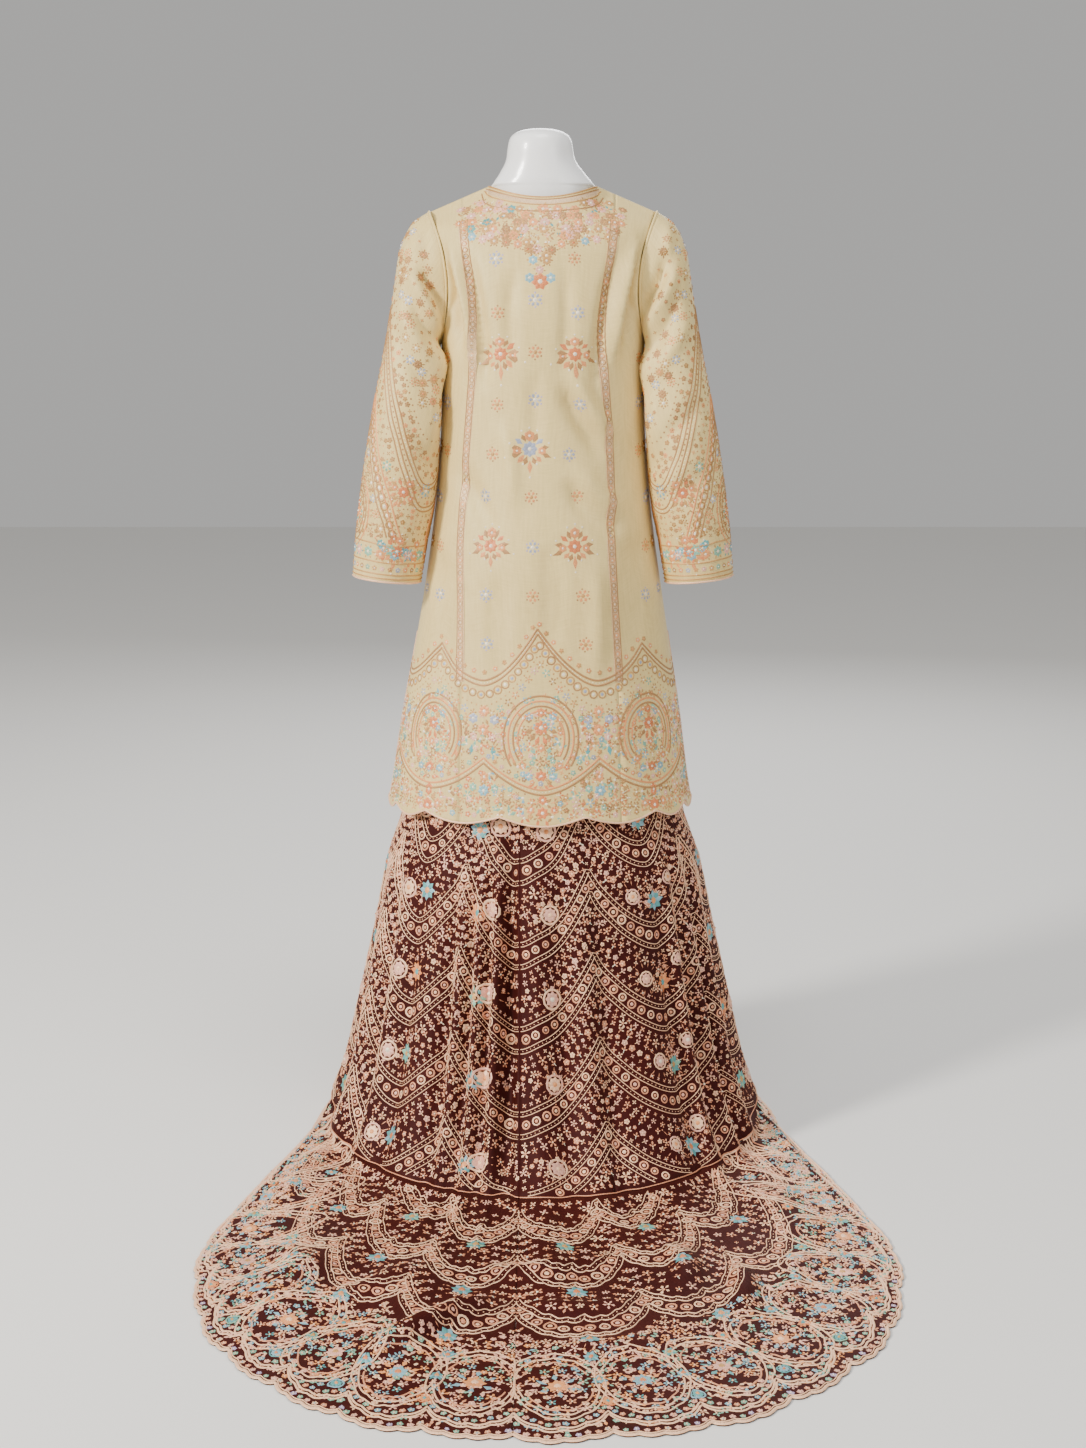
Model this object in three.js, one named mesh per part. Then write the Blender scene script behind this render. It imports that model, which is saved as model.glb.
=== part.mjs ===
// A sharara suit worn on a limbless dress form, in millimetres, +Z up.
// The wearer faces +Y, so the camera's view from behind looks along +Y. The origin is the centre of the
// stand's underside. Every cloth is a thin wall worked out from rings: the kurta's panels and sleeves,
// and the two wide legs of the sharara, which reach the floor and trail behind in a round train.
import * as THREE from "three";

const clothThickness = 1.8;
const trimThickness = 1.0;
const seamGap = 0.3; // between two pieces that are sewn together
const seat = 0.6; // between a cloth and the form that carries it
const neckPoint = { x: 78, z: 1425 }; // where the shoulder seam meets the neckline
const shoulderPoint = { x: 165, z: 1388 }; // and where it meets the sleeve
const hemHeight = 488; // of the kurta
const waistTop = 1020; // of the sharara's waistband
const waistLow = 985;
const neckTop = 1506; // of the dress form
const legLineX = -34; // the two legs meet left of the middle, so the stand's pole comes down in the right leg
const base = { radius: 150, height: 8 };
const pole = { radius: 11 };
const collar = { radius: 26, height: 22 };

const rad = (degrees) => (degrees * Math.PI) / 180;
const mix = (a, b, t) => a + (b - a) * t;
const clamp = (x, low, high) => Math.min(high, Math.max(low, x));
const ease = (t) => clamp(t, 0, 1) ** 2 * (3 - 2 * clamp(t, 0, 1));
const steps = (count) => Array.from({ length: count + 1 }, (_, i) => i / count);

// A smooth value through equally spaced knots, which never swings past a knot. place runs from 0 to the last
// knot's number.
function through(knots, place) {
  const last = knots.length - 1;
  const rise = (i) => knots[i + 1] - knots[i];
  const slope = (i) => {
    if (i === 0) return rise(0);
    if (i === last) return rise(last - 1);
    const [before, after] = [rise(i - 1), rise(i)];
    return before * after <= 0 ? 0 : (2 * before * after) / (before + after);
  };
  const i = clamp(Math.floor(place), 0, last - 1);
  const t = clamp(place, 0, last) - i;
  return (
    (2 * t ** 3 - 3 * t ** 2 + 1) * knots[i] +
    (t ** 3 - 2 * t ** 2 + t) * slope(i) +
    (3 * t ** 2 - 2 * t ** 3) * knots[i + 1] +
    (t ** 3 - t ** 2) * slope(i + 1)
  );
}

const throughPoints = (points, place) =>
  new THREE.Vector3(
    through(points.map((p) => p.x), place),
    through(points.map((p) => p.y), place),
    through(points.map((p) => p.z), place),
  );

// A closed wall under the outer surface at(u, v). us and vs are the places of its columns and rows. shift
// moves the surface out or in, and turn is 1 or -1, whichever points its normal out of the garment. Where
// seamPlane gives a direction, the wall's edge is square to it, so that two panels meet face to face there.
function wall({ at, us, vs, thickness, shift = 0, turn = 1, closed = false, seamPlane = () => null }) {
  const step = 1e-3;
  const columns = us.length;
  const outer = [];
  const inner = [];
  for (const v of vs) {
    for (const u of us) {
      const here = at(u, v);
      const across = at(u + step, v).sub(at(u - step, v));
      const down = at(u, v + step).sub(at(u, v - step));
      const normal = across.cross(down).multiplyScalar(turn);
      const plane = seamPlane(u, v);
      if (plane) normal.addScaledVector(plane, -normal.dot(plane));
      normal.normalize();
      outer.push(here.clone().addScaledVector(normal, shift));
      inner.push(here.clone().addScaledVector(normal, shift - thickness));
    }
  }
  const count = outer.length;
  const faces = [];
  const quad = (a, b, c, d) => faces.push(a, b, c, a, c, d);
  const wrap = closed ? columns : columns - 1;
  for (let row = 0; row < vs.length - 1; row++) {
    for (let column = 0; column < wrap; column++) {
      const next = (column + 1) % columns;
      const [a, b] = [row * columns + column, row * columns + next];
      const [c, d] = [b + columns, a + columns];
      quad(a, d, c, b);
      quad(count + a, count + b, count + c, count + d);
    }
  }
  const rim = (a, b) => quad(a, b, count + b, count + a);
  const lastRow = (vs.length - 1) * columns;
  for (let column = 0; column < wrap; column++) {
    const next = (column + 1) % columns;
    rim(column, next);
    rim(lastRow + next, lastRow + column);
  }
  if (!closed) {
    for (let row = 0; row < vs.length - 1; row++) {
      rim((row + 1) * columns, row * columns);
      rim(row * columns + columns - 1, (row + 1) * columns + columns - 1);
    }
  }
  return solid([...outer, ...inner], faces);
}

// A geometry from points and faces, turned so that its faces point out.
function solid(points, faces) {
  let volume = 0;
  for (let i = 0; i < faces.length; i += 3) {
    const [a, b, c] = [points[faces[i]], points[faces[i + 1]], points[faces[i + 2]]];
    volume += a.dot(b.clone().cross(c));
  }
  if (volume < 0) faces.reverse();
  return new THREE.BufferGeometry().setFromPoints(points).setIndex(faces);
}

const colours = {
  form: { color: 0xf1efec, roughness: 0.25, metalness: 0 },
  steel: { color: 0xb9bcc0, roughness: 0.3, metalness: 0.9 },
  silk: { color: 0xdccdaa, roughness: 0.6, metalness: 0 },
  braid: { color: 0xcfa878, roughness: 0.5, metalness: 0.2 },
  maroon: { color: 0x4a1417, roughness: 0.6, metalness: 0 },
};
const materials = Object.fromEntries(
  Object.entries(colours).map(([name, look]) => [name, new THREE.MeshStandardMaterial({ name, ...look })]),
);
const suit = new THREE.Group();
function add(name, geometry, material) {
  const mesh = new THREE.Mesh(geometry, materials[material]);
  mesh.name = name;
  suit.add(mesh);
  return mesh;
}

// The shoulder ridge of the kurta falls in a straight line from the neck point to the shoulder point.
const ridgeFall = (neckPoint.z - shoulderPoint.z) / (shoulderPoint.x - neckPoint.x);
const ridgeHeight = (x) => neckPoint.z - (x - neckPoint.x) * ridgeFall;

// Dress form
const formColumns = 28;
const formDrop = (clothThickness + seat) * Math.hypot(1, ridgeFall); // of its ridge under the kurta's
const onRidge = (x, back, front) => ({ z: ridgeHeight(x) - formDrop, side: x, back, front, sharp: 1.85 });
const formSections = [
  { z: 818, side: 128, back: 88, front: 84 },
  { z: 826, side: 146, back: 102, front: 97 },
  { z: 860, side: 160, back: 112, front: 105 },
  { z: 905, side: 152, back: 109, front: 102 },
  { z: waistLow, side: 134, back: 99, front: 95 },
  { z: waistTop, side: 126, back: 92, front: 91 },
  { z: 1055, side: 121, back: 87, front: 90 },
  { z: 1110, side: 124, back: 90, front: 99 },
  { z: 1160, side: 132, back: 96, front: 111 },
  { z: 1205, side: 137, back: 98, front: 117 },
  { z: 1250, side: 133, back: 94, front: 106 },
  { z: 1300, side: 129, back: 85, front: 88 },
  { z: 1345, side: 141, back: 66, front: 62 },
  { z: 1375, side: 148, back: 46, front: 36, sharp: 1.2 },
  onRidge(149, 48, 38),
  onRidge(120, 47, 33),
  onRidge(96, 45, 27),
  onRidge(80, 40, 24),
  { z: 1431, side: 61, back: 45, front: 42, sharp: 1.15 },
  { z: 1448, side: 53, back: 47, front: 46 },
  { z: 1478, side: 50, back: 47, front: 46 },
];
// sharp is 1 for an oval and 2 for straight lines from each side to the back and front
const ovalPoint = ({ z, side, back, front, sharp = 1 }, angle) => {
  const reach = (value) => Math.sign(value) * Math.abs(value) ** sharp;
  const depth = Math.cos(angle) > 0 ? back : front;
  return new THREE.Vector3(side * reach(Math.sin(angle)), -depth * reach(Math.cos(angle)), z);
};

// A closed body through a list of oval sections, with flat ends.
function stackedOvals(sections) {
  const points = [];
  const faces = [];
  sections.forEach((section) => {
    for (let i = 0; i < formColumns; i++) points.push(ovalPoint(section, (i / formColumns) * 2 * Math.PI));
  });
  for (let row = 0; row < sections.length - 1; row++) {
    for (let i = 0; i < formColumns; i++) {
      const [a, b] = [row * formColumns + i, row * formColumns + ((i + 1) % formColumns)];
      faces.push(a, b, b + formColumns, a, b + formColumns, a + formColumns);
    }
  }
  const bottom = points.push(new THREE.Vector3(0, 0, sections[0].z)) - 1;
  const top = points.push(new THREE.Vector3(0, 0, sections.at(-1).z)) - 1;
  const lastRing = (sections.length - 1) * formColumns;
  for (let i = 0; i < formColumns; i++) {
    const next = (i + 1) % formColumns;
    faces.push(bottom, next, i, top, lastRing + i, lastRing + next);
  }
  return solid(points, faces);
}
add("form_body", stackedOvals(formSections), "form");

// The neck's own cap, a shallow dome on the neck's top
const neckRim = formSections.at(-1);
const capInset = 0.4; // from the neck's own sides
const capSections = steps(4).map((t) => {
  const reach = Math.sqrt(1 - (0.985 * t) ** 4);
  return {
    z: mix(neckRim.z + seamGap, neckTop, t),
    side: (neckRim.side - capInset) * reach,
    back: (neckRim.back - capInset) * reach,
    front: (neckRim.front - capInset) * reach,
  };
});
add("form_neck_cap", stackedOvals(capSections), "form");

// Stand: a round base, a pole, and a collar under the form
const upright = (radius, low, high, sides) => {
  const cylinder = new THREE.CylinderGeometry(radius, radius, high - low, sides);
  return cylinder.rotateX(Math.PI / 2).translate(0, 0, (low + high) / 2);
};
const collarTop = formSections[0].z - seamGap;
const collarLow = collarTop - collar.height;
add("stand_base", upright(base.radius, 0, base.height, 40), "steel");
add("stand_pole", upright(pole.radius, base.height + seamGap, collarLow - seamGap, 20), "steel");
add("stand_collar", upright(collar.radius, collarLow, collarTop, 24), "steel");

// Kurta body. Each side, back or front, is a stack of rows. Up to the underarm a row ends at the side seam,
// and above it at the armhole, whose place is an angle round the armhole loop from its top.
const armhole = {
  topX: shoulderPoint.x, topZ: shoulderPoint.z, lowX: 150, lowY: -4, lowZ: 1200,
  back: { reach: -62, hollow: -20 },
  front: { reach: 56, hollow: -17 },
};
function armholePoint(face, degrees) {
  const { reach, hollow } = armhole[face];
  const [along, out] = [(1 - Math.cos(rad(degrees))) / 2, Math.sin(rad(degrees))];
  return new THREE.Vector3(
    mix(armhole.topX, armhole.lowX, along) + hollow * out ** 2,
    armhole.lowY * along + reach * out,
    mix(armhole.topZ, armhole.lowZ, along),
  );
}
const sideRows = [
  { z: hemHeight, side: 230, back: 176, front: 166 },
  { z: 560, side: 219, back: 165, front: 157 },
  { z: 650, side: 207, back: 153, front: 147 },
  { z: 740, side: 193, back: 143, front: 138 },
  { z: 845, side: 177, back: 134, front: 129 },
  { z: 930, side: 165, back: 124, front: 121 },
  { z: 1030, side: 154, back: 115, front: 113 },
  { z: 1120, side: 150, back: 115, front: 121 },
];
const armholeRows = {
  back: [
    { angle: 180, z: 1200, depth: 118, turn: 90 },
    { angle: 140, z: 1226, depth: 117, turn: 84 },
    { angle: 105, z: 1276, depth: 112, turn: 78 },
    { angle: 75, z: 1322, depth: 102, turn: 70 },
    { angle: 45, z: 1362, depth: 86, turn: 60 },
  ],
  front: [
    { angle: 180, z: 1200, depth: 131, turn: 90 },
    { angle: 140, z: 1222, depth: 131, turn: 84 },
    { angle: 105, z: 1256, depth: 127, turn: 78 },
    { angle: 75, z: 1286, depth: 119, turn: 70 },
    { angle: 45, z: 1306, depth: 110, turn: 60 },
  ],
};
const neckline = { back: { depth: 60, drop: 17 }, front: { depth: 98, drop: 98 } };
const neckShare = 0.47; // of a half row's width that the neckline takes at the top
const rowCount = sideRows.length + armholeRows.back.length; // the top edge's number, counting the hem as 0
const sign = { back: -1, front: 1 };

// Hem lobes: round below, with a sharp notch between each two
const lobe = { depth: 14, inCentre: 3, inSide: 2 };
const hemLobes = (across, princess) => {
  const a = Math.abs(across);
  const count = a < princess
    ? (a / princess) * (lobe.inCentre / 2) + 0.5
    : ((a - princess) / (1 - princess)) * lobe.inSide;
  return lobe.depth * (1 - Math.abs(Math.sin(Math.PI * count)));
};

// The row's end, and the point of each row at the share across of it, from -1 at one side to 1 at the other
function bodyRow(face, row, across) {
  const a = Math.abs(across);
  const side = Math.sign(across) || 1;
  let end;
  let z;
  let depth;
  let turn = 90;
  if (row < sideRows.length) {
    const section = sideRows[row];
    end = new THREE.Vector3(section.side, armhole.lowY / 2, section.z);
    z = section.z;
    depth = section[face];
  } else if (row < rowCount) {
    const section = armholeRows[face][row - sideRows.length];
    end = armholePoint(face, section.angle);
    ({ z, depth, turn } = section);
  } else {
    const { depth: reach, drop } = neckline[face];
    if (a <= neckShare) {
      const angle = rad((a / neckShare) * 90);
      const [out, along] = [Math.sin(angle), Math.cos(angle)];
      const low = neckPoint.z - drop * along ** 2;
      return new THREE.Vector3(side * neckPoint.x * out, sign[face] * reach * along, low);
    }
    const x = mix(neckPoint.x, shoulderPoint.x, (a - neckShare) / (1 - neckShare));
    return new THREE.Vector3(side * x, 0, ridgeHeight(x));
  }
  const angle = rad(a * turn);
  const rise = (1 - Math.cos(angle)) / (1 - Math.cos(rad(turn)));
  return new THREE.Vector3(
    (side * end.x * Math.sin(angle)) / Math.sin(rad(turn)),
    sign[face] * depth + (end.y - sign[face] * depth) * rise,
    z + (end.z - z) * rise,
  );
}

// The princess seams, by their distance from the middle, from the hem up, and as a share of each row
const princessX = (row) => mix(132, 120, ease(row / 4));
const princessShares = Array.from({ length: rowCount + 1 }, (_, row) => {
  if (row === rowCount) {
    const alongShoulder = (princessX(row) - neckPoint.x) / (shoulderPoint.x - neckPoint.x);
    return mix(neckShare, 1, alongShoulder);
  }
  const turn = row < sideRows.length ? 90 : armholeRows.back[row - sideRows.length].turn;
  const sine = (princessX(row) / bodyRow("back", row, 1).x) * Math.sin(rad(turn));
  return Math.asin(sine) / rad(turn);
});
const princessShare = (row) => through(princessShares, clamp(row, 0, rowCount));

// across is -1 to 1, and height is the row's number, from 0 at the hem to rowCount at the top edge
function bodySurface(face) {
  return (across, height) => {
    const rows = Array.from({ length: rowCount + 1 }, (_, row) => bodyRow(face, row, across));
    const point = throughPoints(rows, height);
    point.z += hemLobes(across, princessShare(0)) * (1 - clamp(height / 0.35, 0, 1));
    return point;
  };
}
const neckbandRow = rowCount - 0.42;
const bodyHeights = [0, 0.35, 1.5, 2.7, 3.9, 5, 6, 7.2, 8, 9, 10, 11, 12, neckbandRow, rowCount];
const slit = { top: 3.3, wide: 5 }; // rows from the hem, and half its opening at the hem
const shoulderSeam = (across, height) =>
  height >= rowCount && Math.abs(across) > neckShare - 1e-3 ? new THREE.Vector3(0, 1, 0) : null;

// A body panel between two shares of the row, which are functions of the height, or a trim laid on its points
function bodyPanel(face, us, from, to, vs = bodyHeights, laid = {}) {
  const surface = bodySurface(face);
  const at = (t, height) => {
    const top = clamp(height, 0, rowCount);
    const point = surface(mix(from(top), to(top), t), top);
    point.z += height - top;
    point.y += sign[face] * (seamGap / 2) * (top / rowCount) ** 8;
    return point;
  };
  const seam = (t, height) => shoulderSeam(mix(from(height), to(height), t), height);
  return wall({ at, us, vs, thickness: clothThickness, turn: -sign[face], seamPlane: seam, ...laid });
}
// A length on a row as a share of its half width, which is about 1.45 times the half width in plan
const rowStretch = 1.45;
const shareOf = (length, height) => {
  const row = clamp(Math.round(height), 0, rowCount - 1);
  return length / (bodyRow("back", row, 1).x * rowStretch);
};
const armholeInset = 2.2; // the body's panels end short of the sleeve's own edge
const sideShare = (height) => {
  const open = slit.wide * (1 - clamp(height / slit.top, 0, 1));
  return 1 - shareOf(open + (height >= sideRows.length ? armholeInset : seamGap / 2), height);
};
const neckColumn = neckShare / princessShare(rowCount); // the neck point, in half widths of the centre panel
const halfColumns = [0.167, 0.333, 0.5, neckColumn, 0.83, 1];
const centreColumns = [...halfColumns.map((x) => -x).reverse(), 0, ...halfColumns].map((x) => (x + 1) / 2);
const sideColumns = steps(8);
const halfGap = (height) => shareOf(seamGap * 0.6, height);
const inner = (height) => princessShare(height) - halfGap(height);
const outer = (height) => princessShare(height) + halfGap(height);
for (const face of ["back", "front"]) {
  const left = [(h) => -sideShare(h), (h) => -outer(h)];
  add(`kurta_${face}_centre`, bodyPanel(face, centreColumns, (h) => -inner(h), inner), "silk");
  add(`kurta_${face}_side_right`, bodyPanel(face, sideColumns, outer, sideShare), "silk");
  add(`kurta_${face}_side_left`, bodyPanel(face, sideColumns, ...left), "silk");
}

// Braid bands over the princess seams, and the band round the neckline, both laid on the panels' own points
const bandWidth = 13;
const bandHeights = bodyHeights.filter((height) => height > 1.3 && height <= 12);
const laidOn = (lift) => ({ thickness: trimThickness, shift: lift + trimThickness });
const halfBand = (height) => shareOf(bandWidth / 2, height);
for (const face of ["back", "front"]) {
  const near = (h) => princessShare(h) - halfBand(h);
  const far = (h) => princessShare(h) + halfBand(h);
  const band = (from, to) => bodyPanel(face, steps(2), from, to, bandHeights, laidOn(2 * seamGap));
  add(`kurta_${face}_band_right`, band(near, far), "braid");
  add(`kurta_${face}_band_left`, band((h) => -far(h), (h) => -near(h)), "braid");
  const neckColumns = centreColumns.slice(2, -2);
  const neckRows = [neckbandRow, rowCount];
  const neckband = bodyPanel(face, neckColumns, (h) => -inner(h), inner, neckRows, laidOn(seamGap));
  add(`kurta_${face}_neckband`, neckband, "braid");
}

// Sleeves: rings from the armhole to the cuff, each with an outer and an inner end and a reach to each side
const sleeveRings = [
  { outX: 166, outZ: 1389, inX: 151.5, inZ: 1199, y: -2, reach: 61, hollow: -19 },
  { outX: 190, outZ: 1372, inX: 153, inZ: 1181, y: -6, reach: 65, hollow: -10 },
  { outX: 209, outZ: 1334, inX: 153, inZ: 1160, y: -12, reach: 66, hollow: -4 },
  { outX: 219, outZ: 1272, inX: 152, inZ: 1128, y: -18, reach: 65, hollow: 0 },
  { outX: 231, outZ: 1200, inX: 152, inZ: 1090, y: -24, reach: 63, hollow: 0 },
  { outX: 248, outZ: 1116, inX: 153, inZ: 1040, y: -29, reach: 62, hollow: 0 },
  { outX: 266, outZ: 1012, inX: 161, inZ: 965, y: -31, reach: 60, hollow: 0 },
  { outX: 278, outZ: 922, inX: 174, inZ: 900, y: -30, reach: 56, hollow: 0 },
  { outX: 284, outZ: 858, inX: 182.5, inZ: 848, y: -28, reach: 52, hollow: 0 },
];
function sleeveSurface(direction) {
  const columns = ["outX", "outZ", "inX", "inZ", "y", "reach", "hollow"];
  return (turnShare, place) => {
    const at = clamp(place, 0, sleeveRings.length - 1);
    const value = (name) => through(sleeveRings.map((ring) => ring[name]), at);
    const ring = Object.fromEntries(columns.map((name) => [name, value(name)]));
    const angle = turnShare * 2 * Math.PI;
    const along = (1 - Math.cos(angle)) / 2;
    const out = Math.sin(angle);
    const beyond = place - at;
    return new THREE.Vector3(
      direction * (mix(ring.outX, ring.inX, along) + ring.hollow * out ** 2 + (at ? 0 : beyond * 20)),
      ring.y + ring.reach * out,
      mix(ring.outZ, ring.inZ, along) - (at ? beyond * 60 : 0),
    );
  };
}
const sleeveColumns = 14;
const sleevePlaces = steps(10).map((t) => t * (sleeveRings.length - 1));
for (const [side, direction] of [["left", -1], ["right", 1]]) {
  add(
    `kurta_sleeve_${side}`,
    wall({
      at: sleeveSurface(direction), us: steps(sleeveColumns).slice(0, -1), vs: sleevePlaces,
      thickness: clothThickness, turn: -direction, closed: true,
    }),
    "silk",
  );
}

// Sharara. Its two legs share one outline, which is an oval at each height, and meet in one upright plane.
const waist = formSections.find((section) => section.z === waistLow);
const bandShift = seat + clothThickness;
const floorTop = clothThickness; // the upper face of cloth that lies on the floor
const legRows = [
  {
    z: waistLow - seamGap,
    side: waist.side + bandShift, back: waist.back + bandShift, front: waist.front + bandShift,
  },
  { z: 905, side: 158, back: 116, front: 110 },
  { z: 780, side: 175, back: 131, front: 124 },
  { z: 650, side: 188, back: 141, front: 134 },
  { z: 560, side: 201, back: 150, front: 143 },
  { z: 490, side: 216, back: 160, front: 151 },
  { z: 420, side: 240, back: 186, front: 172 },
  { z: 300, side: 262, back: 216, front: 200 },
  { z: 200, side: 280, back: 247, front: 222 },
  { z: 110, side: 299, back: 285, front: 245 },
  { z: 45, side: 320, back: 330, front: 267 },
  { z: 14, side: 335, back: 374, front: 284 },
];
const kneeRow = legRows.length - 1; // the join between the hanging gores and the train panels
const floorOval = { z: floorTop, side: 343, back: 420, front: 293 };
// The hem's plan, by the angle round from the middle of the back
const hemPlan = [
  { angle: 0, x: 0, y: -1030 },
  { angle: 15, x: 188, y: -998 },
  { angle: 30, x: 345, y: -885 },
  { angle: 45, x: 440, y: -730 },
  { angle: 60, x: 470, y: -545 },
  { angle: 75, x: 428, y: -330 },
  { angle: 90, x: 364, y: -80 },
  { angle: 105, x: 350, y: 30 },
  { angle: 120, x: 326, y: 118 },
  { angle: 135, x: 283, y: 190 },
  { angle: 150, x: 214, y: 250 },
  { angle: 165, x: 115, y: 300 },
  { angle: 180, x: 0, y: 318 },
];
const hemAskew = 14; // the hem reaches this much farther out on the right than on the left
function hemPoint(anyAngle) {
  const angle = Math.atan2(Math.sin(anyAngle), Math.cos(anyAngle));
  const turned = (Math.abs(angle) * 180) / Math.PI / 15;
  const x = through(hemPlan.map((row) => row.x), turned);
  const y = through(hemPlan.map((row) => row.y), turned);
  const askew = (hemAskew / 2) * Math.min(x / 400, 1);
  return new THREE.Vector3((Math.sign(angle) || 1) * x + askew, y, floorTop);
}
// The train's rows, as shares of the way from the floor oval to the hem
const trainShares = [0, 0.3, 0.65, 1];
const lastLegRow = kneeRow + trainShares.length;

function legRing(row, angle) {
  if (row <= kneeRow) return ovalPoint(legRows[row], angle);
  return ovalPoint(floorOval, angle).lerp(hemPoint(angle), trainShares[row - kneeRow - 1]);
}
// The angle at which a row crosses the line between the legs, behind or in front, found by halving
function legLineAngle(row, inFront) {
  let [low, high] = inFront ? [Math.PI + 0.8, Math.PI] : [-0.8, 0];
  for (let i = 0; i < 40; i++) {
    const middle = (low + high) / 2;
    if (legRing(row, middle).x < legLineX) low = middle;
    else high = middle;
  }
  return (low + high) / 2;
}
const lineAngles = [...legRows, ...trainShares].map((_, row) => [
  legLineAngle(row, false),
  legLineAngle(row, true),
]);

// Folds of each leg: round is the share of the way from the back to the front, wide a fold's half width in
// the same measure, deep how far it stands out, or in if negative, and from and to the rows it fades between.
const folds = {
  right: [
    { round: 0.024, wide: 0.026, deep: 9, from: 4.5, to: 13 },
    { round: 0.085, wide: 0.03, deep: -7, from: 5.5, to: 12.5 },
    { round: 0.205, wide: 0.035, deep: 7, from: 5.5, to: 12.5 },
    { round: 0.29, wide: 0.026, deep: -9, from: 5, to: 12.5 },
    { round: 0.345, wide: 0.026, deep: 8, from: 5.2, to: 13 },
    { round: 0.45, wide: 0.03, deep: -10, from: 5.2, to: 12 },
    { round: 0.53, wide: 0.035, deep: 9, from: 5.5, to: 12 },
    { round: 0.62, wide: 0.03, deep: -9, from: 5, to: 11.5 },
    { round: 0.71, wide: 0.035, deep: 8, from: 5.5, to: 12 },
    { round: 0.81, wide: 0.03, deep: -10, from: 5, to: 11.5 },
    { round: 0.9, wide: 0.035, deep: 8, from: 5.5, to: 12 },
  ],
  left: [
    { round: 0.04, wide: 0.028, deep: -22, from: 4.6, to: 12.6 },
    { round: 0.1, wide: 0.026, deep: 9, from: 5.4, to: 13 },
    { round: 0.155, wide: 0.024, deep: -10, from: 5.2, to: 12.5 },
    { round: 0.225, wide: 0.03, deep: 7, from: 5.6, to: 12.5 },
    { round: 0.31, wide: 0.028, deep: -8, from: 5.2, to: 12.5 },
    { round: 0.385, wide: 0.03, deep: 8, from: 5.4, to: 12.5 },
    { round: 0.475, wide: 0.03, deep: -10, from: 5, to: 12 },
    { round: 0.56, wide: 0.035, deep: 9, from: 5.6, to: 12 },
    { round: 0.655, wide: 0.03, deep: -9, from: 5.2, to: 11.5 },
    { round: 0.76, wide: 0.035, deep: 9, from: 5.5, to: 12 },
    { round: 0.86, wide: 0.03, deep: -10, from: 5, to: 11.5 },
    { round: 0.94, wide: 0.028, deep: 7, from: 5.5, to: 12 },
  ],
};
function foldHeight(side, round, row) {
  const edges = ease(round / 0.012) * ease((1 - round) / 0.012); // nothing moves where the legs meet
  return folds[side].reduce((sum, fold) => {
    const bump = Math.exp(-(((round - fold.round) / fold.wide) ** 2));
    const fade = ease((row - fold.from) / 3.2) * ease((fold.to + 1 - row) / 1.5);
    return sum + fold.deep * bump * fade * edges;
  }, 0);
}
// Low ridges and one rumple in the cloth that lies on the floor
const ripples = {
  right: [
    { round: 0.13, wide: 0.04, high: 9, from: 0, to: 0.75 },
    { round: 0.3, wide: 0.035, high: 12, from: 0, to: 0.7 },
    { round: 0.46, wide: 0.04, high: 8, from: 0, to: 0.8 },
  ],
  left: [
    { round: 0.09, wide: 0.035, high: 13, from: 0.1, to: 0.95 },
    { round: 0.2, wide: 0.04, high: 20, from: 0.25, to: 1 },
    { round: 0.36, wide: 0.04, high: 9, from: 0, to: 0.7 },
  ],
};
function rippleHeight(side, round, row) {
  const share = (row - kneeRow - 1) / (trainShares.length - 1);
  return ripples[side].reduce((sum, ripple) => {
    const middle = (ripple.from + ripple.to) / 2;
    const half = (ripple.to - ripple.from) / 2;
    const along = ease(1 - Math.abs(share - middle) / half);
    return sum + ripple.high * along * Math.exp(-(((round - ripple.round) / ripple.wide) ** 2));
  }, 0);
}

// A point of a leg's outer face: round is 0 at the line between the legs behind and 1 in front
function legSurface(side) {
  const direction = side === "right" ? 1 : -1;
  const smoothSkin = (round, row) => {
    const rings = [];
    for (let r = 0; r <= lastLegRow; r++) {
      const [behind, before] = lineAngles[r];
      rings.push(legRing(r, mix(behind, direction > 0 ? before : before - 2 * Math.PI, round)));
    }
    const point = throughPoints(rings, row);
    point.z = Math.max(point.z, floorTop);
    return point;
  };
  return (round, row) => {
    const place = clamp(row, 0, lastLegRow);
    const point = smoothSkin(round, place);
    const fold = foldHeight(side, round, place);
    const out = new THREE.Vector3(point.x / 1.1, point.y, 0).normalize();
    const lying = ease((place - kneeRow + 0.6) / 1.2);
    point.addScaledVector(out, fold * (1 - lying));
    point.z += Math.max(0, fold) * lying * 0.6 + rippleHeight(side, round, place);
    if (row < 0) point.z -= row * 50;
    if (row > lastLegRow) point.addScaledVector(out, (row - lastLegRow) * 50);
    return point;
  };
}

const gapShare = 0.0004; // of a leg's width, half the gap between gores
const sideGapShare = 0.003; // and between the train and the front flare, whose seam runs aslant
const gores = [
  { name: "back_inner", from: 0, to: 0.125, columns: 4 },
  { name: "back", from: 0.125, to: 0.375, columns: 8 },
  { name: "side", from: 0.375, to: 0.625, columns: 8 },
  { name: "front", from: 0.625, to: 0.875, columns: 6 },
  { name: "front_inner", from: 0.875, to: 1, columns: 3 },
];
const allColumns = gores.flatMap((gore) => steps(gore.columns).map((t) => mix(gore.from, gore.to, t)));
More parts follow.
